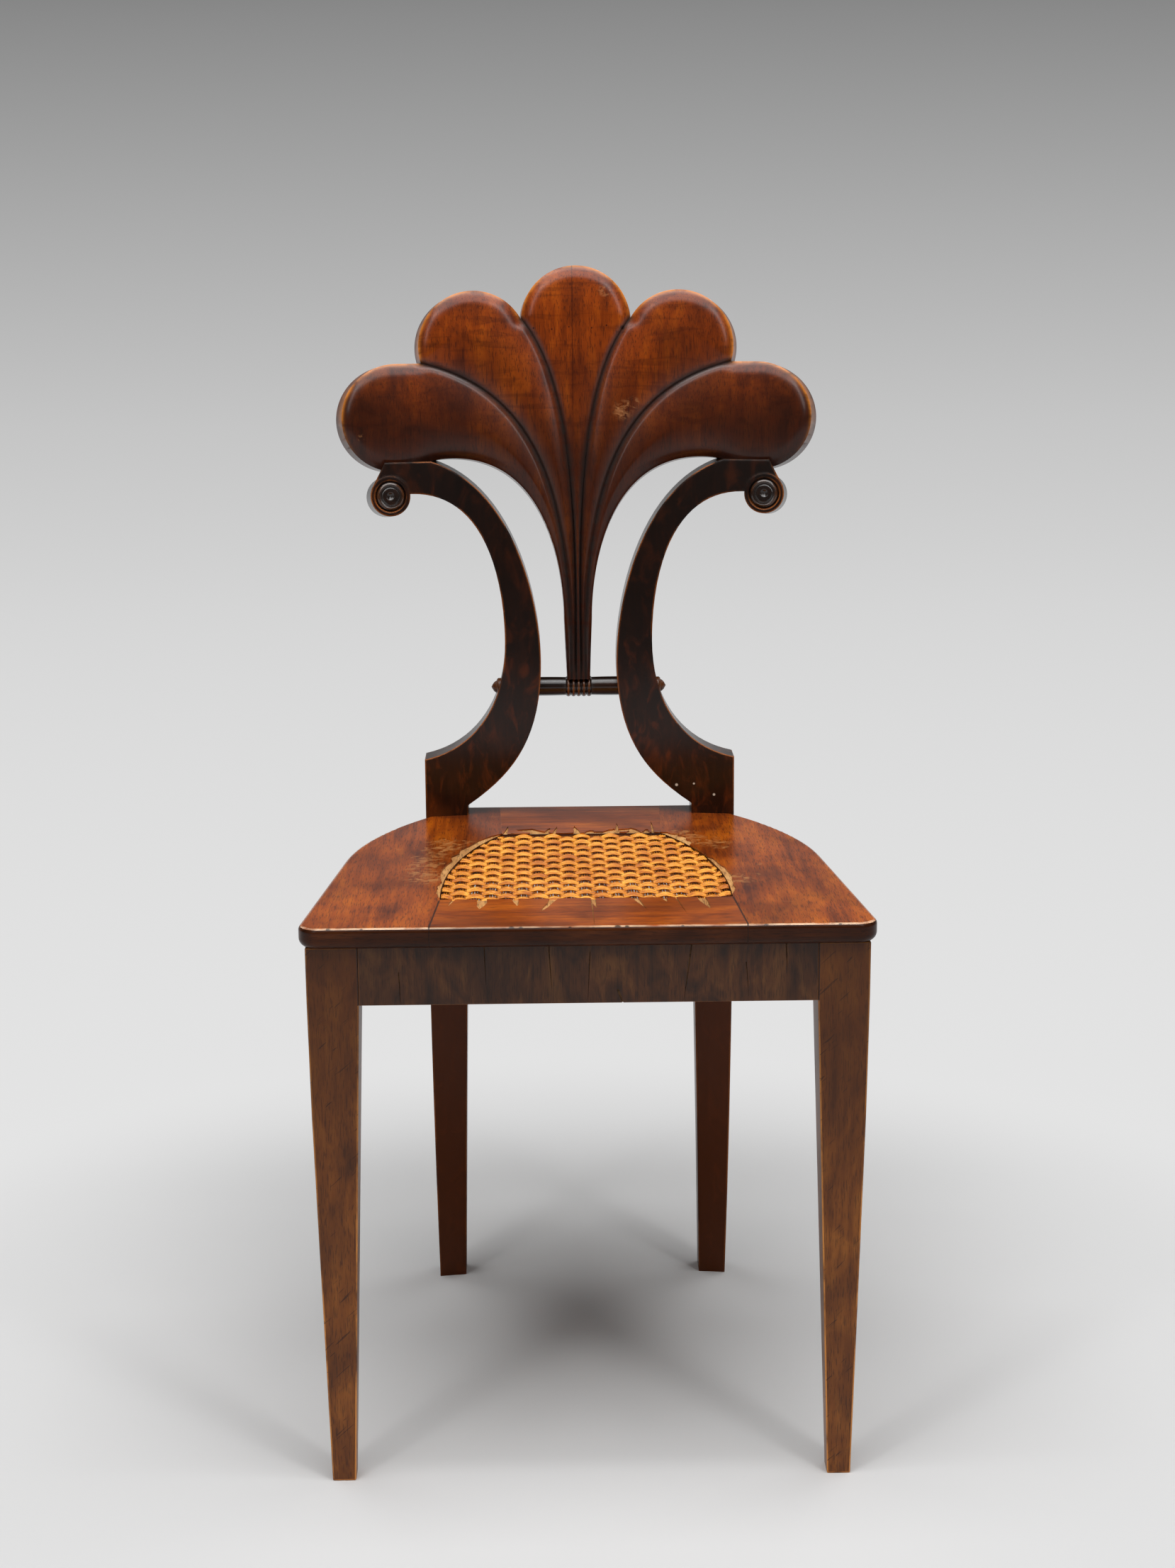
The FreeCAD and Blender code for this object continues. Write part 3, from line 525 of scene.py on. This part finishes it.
losses = seat_losses()
for side in ("left", "right"):
    leg = eased_piece("front_leg_" + side, leg_walnut, 1.2)
    dirty_joint(leg, lambda point: point.z > RAIL_UNDER and abs(point.x) < LEG_MIDDLE)
    eased_piece("back_post_" + side, post_walnut, 0.5)
    eased_piece("side_rail_" + side, leg_walnut, 0.8)
for place in ("left", "right", "front", "rear"):
    member = eased_piece("seat_member_" + place, nosing_walnut, 0.4)
    dirty_joint(member, lambda point: abs(point.x) < LEG_MIDDLE)
    show_ground_wood(member)
    veneer = seat_side_walnut if place in ("left", "right") else seat_front_walnut
    sheet = eased_piece("seat_veneer_" + place, veneer, 0.12)
    paint_rim_highlight(sheet)
    cut_away(sheet, losses)
bpy.data.objects.remove(losses)
losses = rail_losses()
cut_away(eased_piece("front_rail_veneer", rail_veneer, 0.3), losses)
bpy.data.objects.remove(losses)
eased_piece("front_rail", beech, 0.5)
eased_piece("rear_rail", leg_walnut, 0.8)
for node in frame["nodes"]:
    if node.startswith(("corner_block", "fan_dowel", "stem_dowel")):
        frame["nodes"][node].data.materials.clear()
        frame["nodes"][node].data.materials.append(beech)


# The fan: five lobes drawn from the front, then dished, rolled over at their edges and given thickness

MID_LOBE = (Vector((0, 887.5)), 48.0)
INNER_LOBE = (Vector((90.0, 866.5)), 48.0)
OUTER_LOBE = (Vector((158.5, ARM_TOP + 37.5)), 46.5)
STEM_FOOT = ROD_Z + 9.3 - 1.5


def on_circle(lobe, degrees):
    """Point of a lobe's circle at a bearing."""
    centre, radius = lobe
    turn = math.radians(degrees)
    return centre + Vector((math.cos(turn), math.sin(turn))) * radius


def bearing(lobe, point):
    """Bearing of a point from a lobe's middle."""
    return math.degrees(math.atan2(point.y - lobe[0].y, point.x - lobe[0].x))


def circles_meet(one, two):
    """Upper crossing of two lobes' circles."""
    gap = (two[0] - one[0]).length
    along = (one[1] ** 2 - two[1] ** 2 + gap ** 2) / (2 * gap)
    way = (two[0] - one[0]) / gap
    return one[0] + way * along + Vector((-way.y, way.x)) * math.sqrt(one[1] ** 2 - along ** 2)


INNER_CUSP = circles_meet(MID_LOBE, INNER_LOBE)
CROWN_Z = OUTER_LOBE[0].y + OUTER_LOBE[1]
CROWN_HALF = math.sqrt(INNER_LOBE[1] ** 2 - (CROWN_Z - INNER_LOBE[0].y) ** 2)
OUTER_CUSP = Vector((INNER_LOBE[0].x + CROWN_HALF, CROWN_Z))
INNER_FLUTE = (Vector((2.0, STEM_FOOT)), Vector((2.0, ROD_Z + 66)), Vector((-8.0, INNER_CUSP.y - 64)),
               INNER_CUSP)
OUTER_FLUTE = (Vector((6.3, STEM_FOOT)), Vector((6.6, ROD_Z + 141)), Vector((19.0, OUTER_CUSP.y - 27)),
               OUTER_CUSP)
ARCH = (Vector((12.3, ROD_Z + 61)), Vector((12.3, ROD_Z + 105)), Vector((27.0, ARM_TOP + 15.5)),
        Vector((128.0, ARM_TOP)))
RUN = 0.66


def rim(lobe, start, stop, t):
    """Point on the way round a lobe from one bearing to another."""
    return on_circle(lobe, start + (stop - start) * t)


def flute_side(flute, lobe, pole, t):
    """Edge of a lobe: up a flute to its cusp, then round the lobe to its pole."""
    if t <= RUN:
        return bezier(flute, t / RUN)
    return rim(lobe, bearing(lobe, flute[3]), pole, (t - RUN) / (1 - RUN))


def crown_side(t):
    """Upper edge of the outer lobe: the flute, the flat crown, the round end."""
    crown = RUN + 0.08
    if t <= RUN:
        return bezier(OUTER_FLUTE, t / RUN)
    if t <= crown:
        return OUTER_CUSP.lerp(on_circle(OUTER_LOBE, 90), (t - RUN) / (crown - RUN))
    return rim(OUTER_LOBE, 90, 0, (t - crown) / (1 - crown))


def arch_side(t):
    """Lower edge of the outer lobe: the stem, the arch, the seat on the arm, the round end."""
    stem, sole = 0.16, RUN + 0.08
    if t <= stem:
        return Vector((10.1, STEM_FOOT)).lerp(ARCH[0], t / stem)
    if t <= RUN:
        return bezier(ARCH, (t - stem) / (RUN - stem))
    if t <= sole:
        return ARCH[3].lerp(on_circle(OUTER_LOBE, -110.5), (t - RUN) / (sole - RUN))
    return rim(OUTER_LOBE, -110.5, 0, (t - sole) / (1 - sole))


def mirrored_side(side):
    """The same edge on the fan's left."""
    return lambda t: Vector((-side(t).x, side(t).y))


def mid_side(t):
    """Right edge of the middle lobe."""
    return flute_side(INNER_FLUTE, MID_LOBE, 90, t)


def inner_low(t):
    """Lower edge of the lobe beside the middle one."""
    return flute_side(OUTER_FLUTE, INNER_LOBE, 62, t)


def inner_high(t):
    """Upper edge of the lobe beside the middle one."""
    return flute_side(INNER_FLUTE, INNER_LOBE, 62, t)


LOBES = [(mirrored_side(mid_side), mid_side), (inner_high, inner_low), (crown_side, arch_side),
         (mirrored_side(inner_low), mirrored_side(inner_high)),
         (mirrored_side(arch_side), mirrored_side(crown_side))]


def cloud_of(points):
    """Finds the nearest of some points of the front view."""
    tree = kdtree.KDTree(len(points))
    for index, point in enumerate(points):
        tree.insert((point.x, point.y, 0), index)
    tree.balance()
    return lambda x, z: tree.find((x, z, 0))[2]


STEPS = 1600
rim_points = []
for side in (mid_side, inner_low, inner_high, crown_side):
    rim_points += [side(RUN + (1 - RUN) * step / STEPS) for step in range(STEPS + 1)]
rim_points += [arch_side(step / STEPS) for step in range(STEPS + 1)]
rim_points += [Vector((-point.x, point.y)) for point in rim_points]
flute_points = []
for flute in (INNER_FLUTE, OUTER_FLUTE):
    flute_points += [bezier(flute, step / STEPS) for step in range(STEPS + 1)]
flute_points += [Vector((-point.x, point.y)) for point in flute_points]
to_rim = cloud_of(rim_points)
to_flute = cloud_of(flute_points)


def roll(gap, width, depth):
    """How far a carved face falls back near an edge."""
    return depth * max(0.0, 1 - gap / width) ** 2


def ease(value, low, high):
    """Eases from 0 at low to 1 at high."""
    t = min(1.0, max(0.0, (value - low) / (high - low)))
    return t * t * (3 - 2 * t)


# Carving of the fan: depth of the swell, then width and depth of the roll at a rim and at a flute.
# A reed of the stem takes no more of each than a share of its half width.
SWELL = 4.0
RIM_WIDE, RIM_DEEP = 12.0, 3.2
FLUTE_WIDE, FLUTE_DEEP = 5.0, 2.0
REED_SHARE = 0.35
LOBE_ACROSS, LOBE_ALONG = 30, 130


def carved_fan():
    """The fan as a closed mesh: each lobe swells, rolls over at the rim and falls into the flutes."""
    bm = bmesh.new()
    wear_and_highlight = bm.verts.layers.float.new("wear_and_highlight")
    dirt_and_painted_shade = bm.verts.layers.float.new("dirt_and_painted_shade")
    painted_shade = bm.verts.layers.float.new("painted_shade")
    half_width = bm.verts.layers.float.new("half_width")
    for first, second in LOBES:
        widest = (first(RUN) - second(RUN)).length / 2
        made = bmesh.ops.create_grid(bm, x_segments=LOBE_ACROSS, y_segments=LOBE_ALONG, size=1.0)
        for vert in made["verts"]:
            s = 0.5 - 0.5 * math.cos(math.pi * (vert.co.x + 1) / 2)
            t = (vert.co.y + 1) / 2
            low, high = first(t), second(t)
            point = low.lerp(high, s)
            vert[half_width] = (high - low).length / 2 if t < RUN else widest
            vert.co = (point.x, 0, point.y)
    bmesh.ops.remove_doubles(bm, verts=bm.verts, dist=0.02)
    bmesh.ops.recalc_face_normals(bm, faces=bm.faces)
    if sum(face.normal.y for face in bm.faces) > 0:
        bmesh.ops.reverse_faces(bm, faces=bm.faces)
    backs = list(bm.verts)
    made = bmesh.ops.extrude_face_region(bm, geom=list(bm.faces), use_keep_orig=True)
    fronts = [item for item in made["geom"] if isinstance(item, bmesh.types.BMVert)]
    depth = FAN_THICK / math.cos(RAKE)
    wider = (fan_front(ARM_TOP) + depth) / fan_front(ARM_TOP)
    # The back is given half of the painted shade
    for vert in backs:
        vert[painted_shade] = 0.5
        vert.co.x *= wider
        vert.co.z -= FAN_THICK * math.sin(RAKE)
        vert.co.y = SWEEP_AXIS + math.sqrt((fan_front(vert.co.z) + depth) ** 2 - vert.co.x ** 2)
    for vert in fronts:
        x, z = vert.co.x, vert.co.z
        rim_gap, flute_gap = to_rim(x, z), to_flute(x, z)
        half = max(vert[half_width], 1.0)
        reed = REED_SHARE * half
        fall = roll(min(rim_gap, flute_gap), half, min(SWELL, reed))
        fall += roll(rim_gap, min(RIM_WIDE, 0.8 * half), min(RIM_DEEP, reed))
        fall += roll(flute_gap, min(FLUTE_WIDE, 0.7 * half), min(FLUTE_DEEP, reed))
        vert.co.y = SWEEP_AXIS + math.sqrt(fan_front(z) ** 2 - x ** 2) + fall
        # Pale upper rims: worn edges, partly a painted highlight where the rims catch the light
        vert[wear_and_highlight] = 0.95 * math.exp(-(rim_gap / 1.7) ** 2) * ease(z, 765, 830)
        # Dark in the flutes: dust and painted shade, with a grey that paints their sheen
        vert[dirt_and_painted_shade] = math.exp(-(flute_gap / min(3.0, 0.6 * half)) ** 2)
        # Painted shade: darker towards the stem and out along the outer lobes
        aside = 0.16 * ease(abs(x), 40, 110) + 0.25 * ease(abs(x), 140, 190)
        vert[painted_shade] = min(0.9, 1 - ease(z, 745, 885) + aside)
    for vert in bm.verts:
        vert.co *= MM
    bmesh.ops.recalc_face_normals(bm, faces=bm.faces)
    return bm


fan = dress("carved_fan", carved_fan(), fan_walnut, "polished_walnut", "fan_splat")
edge = fan.modifiers.new("eased rim", "BEVEL")
edge.width = 0.8 * MM
edge.segments = 2
edge.limit_method = "ANGLE"
edge.angle_limit = math.radians(42)


# Turned pieces

def turn_on_lathe(profile, base, way, steps=64):
    """Spins a profile of (radius, height) in millimetres and sets it on a base along a way."""
    bm = bmesh.new()
    verts = [bm.verts.new((radius, 0, height)) for radius, height in profile]
    edges = [bm.edges.new(pair) for pair in zip(verts, verts[1:])]
    bmesh.ops.spin(bm, geom=verts + edges, cent=(0, 0, 0), axis=(0, 0, 1), angle=2 * math.pi, steps=steps,
                   use_merge=True)
    bmesh.ops.remove_doubles(bm, verts=bm.verts, dist=0.001)
    turn = Vector((0, 0, 1)).rotation_difference(way).to_matrix().to_4x4()
    bmesh.ops.transform(bm, matrix=Matrix.Scale(MM, 4) @ Matrix.Translation(base) @ turn, verts=bm.verts)
    bmesh.ops.recalc_face_normals(bm, faces=bm.faces)
    return bm


def rounded(points, steps=5):
    """A profile through arcs: each (radius, height, swell) bulges on its way to the next point."""
    path = []
    for (r0, h0, swell), (r1, h1, _) in zip(points, points[1:]):
        for step in range(steps):
            t = step / steps
            path.append((r0 + (r1 - r0) * t + swell * math.sin(math.pi * t), h0 + (h1 - h0) * t))
    path.append(points[-1][:2])
    return path


beads, bead = 5, 4.6
collar = beads * bead / 2
rod_profile = [(0, -50, 0), (8.4, -50, 0), (8.4, -34, 0.1)]
rod_profile += [(8.1, index * bead - collar, 1.3) for index in range(beads)]
rod_profile += [(8.1, collar, 0.1), (8.4, 34, 0), (8.4, 50, 0), (0, 50, 0)]
rod_bm = turn_on_lathe(rounded(rod_profile, 7), Vector((0, ROD_Y, ROD_Z)), Vector((1, 0, 0)))
crest = rod_bm.verts.layers.float.new("wear_and_highlight")
gully = rod_bm.verts.layers.float.new("dirt_and_painted_shade")
for vert in rod_bm.verts:
    radius = math.hypot(vert.co.y / MM - ROD_Y, vert.co.z / MM - ROD_Z)
    in_collar = abs(vert.co.x / MM) < collar + 0.5
    vert[crest] = 0.45 * max(0.0, (radius - 9.1) / 0.3) if in_collar else 0.0
    # Gullies of the collar: dirt and painted shade
    vert[gully] = max(0.0, (8.45 - radius) / 0.35) if in_collar else 0.0
dress("turned_rod", rod_bm, rod_walnut, "dark_walnut", "cross_rod")

volute_radius = post_front(VOLUTE_Z)
volute_y = SWEEP_AXIS + math.sqrt(volute_radius ** 2 - VOLUTE_X ** 2)
volute_turn = math.asin(VOLUTE_X / volute_radius)
volute_lean = math.asin((VOLUTE_Z - SEAT) / RAKE_RADIUS)
disc = rounded([(0, -3, 0), (12.0, -3, 0), (12.0, 0.4, 0.5), (10.4, 1.9, 0.3), (8.6, 1.5, 0),
                (7.7, 0.4, -0.2), (6.5, 1.1, 0.2), (3.4, 1.2, 0), (1.8, 0.3, 0), (0, -0.2, 0)], 4)
button = rounded([(0, 65, 0), (7.8, 65, 0), (7.8, 71.8, 0), (7.2, 72.6, 0.2), (5.4, 73.4, 0),
                  (5.2, 74.0, 0.9), (0, 78, 0)], 5)
for side, name in ((-1, "left"), (1, "right")):
    looks = Vector((-side * math.sin(volute_turn) * math.cos(volute_lean),
                    -math.cos(volute_turn) * math.cos(volute_lean), math.sin(volute_lean)))
    face = Vector((side * VOLUTE_X, volute_y, VOLUTE_Z)) + looks
    disc_bm = turn_on_lathe(disc, face, looks)
    gully = disc_bm.verts.layers.float.new("dirt_and_painted_shade")
    crest = disc_bm.verts.layers.float.new("wear_and_highlight")
    for vert in disc_bm.verts:
        offset = vert.co / MM - face
        radius = (offset - looks * offset.dot(looks)).length
        # Dark in the channel and at the middle: dirt and painted shade
        vert[gully] = math.exp(-((radius - 7.7) / 1.0) ** 2) + 0.6 * math.exp(-(radius / 2.4) ** 2)
        vert[crest] = 0.12 * math.exp(-((radius - 11.0) / 1.2) ** 2)
    dress("turned_roundel_" + name, disc_bm, rod_walnut, "dark_walnut", "roundel_" + name)
    button_bm = turn_on_lathe(button, Vector((0, ROD_Y, ROD_Z)), Vector((side, 0, 0)), 48)
    dress("turned_button_" + name, button_bm, leg_walnut, "dark_walnut", "rod_button_" + name)


# Woven cane

side_points = [bezier(CANE_SIDE, step / 400) for step in range(401)]


def cane_half(y):
    """Half width of the cane's opening at a distance from front to back."""
    return min(side_points, key=lambda point: abs(point.y - y)).x


def cane_length(x):
    """Where the cane ends at the rear, at a distance from the middle."""
    inside = [point.y for point in side_points if point.x >= abs(x)]
    return max(inside) if inside else CANE_FRONT


# The weave: its pitch across and along, its level, then width, spacing and rise of its strips
COLUMN = 12.5
ROW = 10.6
CANE_TOP = SEAT - 2.9
ROWS = 21
WEFT_WIDTH, WEFT_STEP, WEFT_RISE = 3.6, 3.1, 1.5
WARP_WIDTH, WARP_STEP, WARP_RISE = 1.9, 2.05, 0.5


def woven(name, strands, material):
    """Thin arched strips, each given as its steps, its width and the rule that lays it."""
    bm = bmesh.new()
    for count, width, lay in strands:
        made = bmesh.ops.create_grid(bm, x_segments=count, y_segments=3, size=1.0)
        for vert in made["verts"]:
            t, v = (vert.co.x + 1) / 2, vert.co.y
            vert.co = lay(t, v * width / 2, 0.5 * (1 - v * v)) * MM
    bmesh.ops.recalc_face_normals(bm, faces=bm.faces)
    for face in bm.faces:
        if face.normal.z < 0:
            face.normal_flip()
    piece = dress(name, bm, material, "cane")
    thick = piece.modifiers.new("strip", "SOLIDIFY")
    thick.thickness = 0.7 * MM
    thick.offset = -1
    return piece


def jitter(a, b, size):
    """A small offset, the same each time for the same place."""
    return size * noise.noise(Vector((a * 7.31, b * 3.17, 2.5)))


def weft_strand(row, part, y):
    """A strip from side to side: its steps, its width and its path over and under the warp."""
    half = cane_half(y) - 1.0
    phase = math.pi * row

    def lay(t, v, crown):
        x = -half + 2 * half * t
        wave = math.cos(math.pi * x / COLUMN + phase)
        aside = jitter(x * 0.01, row + part, 0.5) + part * wave
        return Vector((x, y + v + aside, CANE_TOP + WEFT_RISE * wave + crown))
    return max(8, int(2 * half / COLUMN * 8)), WEFT_WIDTH, lay


def warp_strand(column, part, x):
    """A strip from front to rear: its steps, its width and its path."""
    end = cane_length(x) - 1.0
    start = CANE_FRONT + 1.0

    def lay(t, v, crown):
        y = start + (end - start) * t
        row = (y - CANE_FRONT - ROW / 2) / ROW
        wave = math.cos(math.pi * row + math.pi * column)
        aside = jitter(y * 0.01, column + part * 0.3, 0.5)
        return Vector((x + v + aside, y, CANE_TOP - WARP_RISE - WARP_RISE * wave + crown))
    return max(8, int((end - start) / ROW * 4)), WARP_WIDTH, lay


wefts = []
for row in range(ROWS):
    middle = CANE_FRONT + ROW * (row + 0.5)
    for part in (-1, 0, 1):
        wefts.append(weft_strand(row, part, middle + part * WEFT_STEP))
warps = []
for column in range(-9, 10):
    for part in (-2, -1, 0, 1, 2):
        x = column * COLUMN + part * WARP_STEP
        if abs(x) < CANE_HALF_FRONT - 2.0:
            warps.append(warp_strand(column, part, x))


def cane(name, axis, dark, mid, light):
    """Peeled rattan: glossy golden skin with long fibres, browner where varnish has darkened it."""
    material, tree, place = new_material(name)
    fibre = grain(tree, place, axis, 0.8, 26.0)
    tone = grain(tree, place, axis, 14.0, 1.0)
    blend = add(tree, "Mix", {0: 0.5, 2: fibre, 3: tone}).outputs[0]
    colour = graded(tree, blend, ((0.395, dark), (0.5, mid), (0.605, light)))
    bump = add(tree, "Bump", {"Height": fibre, "Strength": 0.2, "Distance": 0.3 * MM})
    finish_material(tree, colour, 0.36, 0.25, bump.outputs[0])
    return material


weft_piece = woven("cane_weft", wefts, cane("varnished cane, weft", X_GRAIN, "b45c10", "e08a22", "f8b244"))
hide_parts("cane_panel")
# The warp's shades are darker than the weft's: painted shade, for the strips lying under the weft
woven("cane_warp", warps, cane("varnished cane, warp", Y_GRAIN, "55290a", "8c4a10", "c0761f"))


# Camera, as in the photograph: 59 mm lens on a 36 mm upright frame

FOCAL_PX, FRAME_PX, FRAME_MM = 3629, 2212, 36.0
CAMERA_PLACE = Vector((-35.0, LEG_FACE - 1876.0, 972.0))
pitch, yaw, tilt = math.radians(12.31), math.radians(1.07), math.radians(-0.38)
ahead = Vector((math.sin(yaw) * math.cos(pitch), math.cos(yaw) * math.cos(pitch), -math.sin(pitch)))
level = Vector((math.cos(yaw), -math.sin(yaw), 0))
plumb = level.cross(ahead)
right = level * math.cos(tilt) + plumb * math.sin(tilt)
upward = plumb * math.cos(tilt) - level * math.sin(tilt)
camera_data = bpy.data.cameras.new("camera")
camera_data.sensor_fit = "VERTICAL"
camera_data.sensor_height = FRAME_MM
camera_data.lens = FOCAL_PX / FRAME_PX * FRAME_MM
camera = bpy.data.objects.new("camera", camera_data)
turn = Matrix((right, upward, -ahead)).transposed().to_4x4()
camera.matrix_world = Matrix.Translation(CAMERA_PLACE * MM) @ turn
bpy.context.scene.collection.objects.link(camera)
bpy.context.scene.camera = camera


# Stage: a pale floor that keeps the shadow near the chair and glows beyond it, and a glowing backdrop painted
# darker upwards

def staged(name, bm, material):
    """Sets a sheet of the studio on the stage."""
    mesh = bpy.data.meshes.new(name)
    bm.to_mesh(mesh)
    bm.free()
    mesh.materials.append(material)
    piece = bpy.data.objects.new(name, mesh)
    bpy.context.scene.collection.objects.link(piece)


def seen(tree):
    """1 for rays from the camera, a reflection or a glass."""
    path = add(tree, "LightPath").outputs
    either = add(tree, "Math", {0: path["Is Camera Ray"], 1: path["Is Glossy Ray"]}, operation="MAXIMUM")
    any_ray = add(tree, "Math", {0: either.outputs[0], 1: path["Is Transmission Ray"]}, operation="MAXIMUM")
    return any_ray.outputs[0]


BACKDROP_Y = 4.5
SHEET = 6.0
# Painted greys of the glowing floor by distance and of the glowing backdrop by height, both in metres: darker
# away and upwards, a painted falloff of light
FLOOR_GREYS = ((0.5, "e4e4e4"), (1.1, "e2e2e2"), (2.18, "dedede"), (BACKDROP_Y, "d5d5d5"))
BACKDROP_GREYS = ((0.0, "d5d5d5"), (0.468, "c5c5c5"), (0.822, "b3b3b3"), (1.165, "9f9f9f"), (1.474, "8a8a8a"),
                  (2.0, "4a4a4a"), (2.6, "161616"))

floor_paper, tree, place = new_material("pale studio floor")
lit = add(tree, "BsdfDiffuse", {"Color": linear("e2e2e2")})
away = add(tree, "SeparateXYZ", {0: place}).outputs["Y"]
plain = add(tree, "Emission", {"Color": graded(tree, away, FLOOR_GREYS), "Strength": 1.0})
# Beyond the chair the floor glows in its painted greys instead of being lit
around = add(tree, "VectorMath", {0: place}, operation="LENGTH").outputs["Value"]
far = add(tree, "MapRange", {"Value": around, "From Min": 0.42, "From Max": 0.85, "To Max": seen(tree)},
          interpolation_type="SMOOTHSTEP")
mixed = add(tree, "MixShader", {0: far.outputs[0], 1: lit.outputs[0], 2: plain.outputs[0]})
add(tree, "OutputMaterial", {"Surface": mixed.outputs[0]})
bm = bmesh.new()
bmesh.ops.create_grid(bm, x_segments=1, y_segments=1, size=SHEET)
bmesh.ops.translate(bm, verts=bm.verts, vec=(0, BACKDROP_Y - SHEET, 0))
staged("studio_floor", bm, floor_paper)

backdrop_paper, tree, place = new_material("grey studio backdrop")
rise = add(tree, "SeparateXYZ", {0: place}).outputs["Z"]
shade = add(tree, "Emission", {"Color": graded(tree, rise, BACKDROP_GREYS), "Strength": 1.0})
dull = add(tree, "BsdfDiffuse", {"Color": linear("c8c8c8")})
mixed = add(tree, "MixShader", {0: seen(tree), 1: dull.outputs[0], 2: shade.outputs[0]})
add(tree, "OutputMaterial", {"Surface": mixed.outputs[0]})
bm = bmesh.new()
bmesh.ops.create_grid(bm, x_segments=1, y_segments=1, size=SHEET)
bmesh.ops.rotate(bm, verts=bm.verts, cent=(0, 0, 0), matrix=Matrix.Rotation(math.radians(90), 3, "X"))
bmesh.ops.translate(bm, verts=bm.verts, vec=(0, BACKDROP_Y, SHEET))
staged("studio_backdrop", bm, backdrop_paper)


def softbox(name, size, power, place, aim):
    """A large soft lamp."""
    lamp = bpy.data.lights.new(name, "AREA")
    lamp.shape = "RECTANGLE"
    lamp.size, lamp.size_y = size
    lamp.energy = power
    piece = bpy.data.objects.new(name, lamp)
    piece.location = place
    piece.rotation_euler = (Vector(aim) - Vector(place)).to_track_quat("-Z", "Y").to_euler()
    bpy.context.scene.collection.objects.link(piece)


softbox("overhead softbox", (2.2, 1.8), 48, (0.0, -0.6, 2.4), (0, -0.1, 0.4))
softbox("overhead strip", (1.7, 0.12), 6, (0.0, -0.35, 2.3), (0, 0, 0.4))
softbox("rear right softbox", (1.4, 1.2), 6.5, (1.4, 1.2, 1.9), (0, 0, 0.4))
softbox("rear left softbox", (1.4, 1.2), 5.5, (-1.4, 1.2, 1.9), (0, 0, 0.4))
softbox("right strip softbox", (0.3, 1.2), 6.5, (1.05, -1.5, 1.9), (0, 0.1, 0.7))
softbox("left strip softbox", (0.25, 1.2), 4.5, (-1.05, -1.5, 1.9), (0, 0.1, 0.7))

world = bpy.data.worlds.new("studio")
bpy.context.scene.world = world
world.use_nodes = True
world.node_tree.nodes["Background"].inputs["Color"].default_value = linear("d8d8d8")
world.node_tree.nodes["Background"].inputs["Strength"].default_value = 0.1

bpy.context.scene.view_settings.view_transform = "Standard"
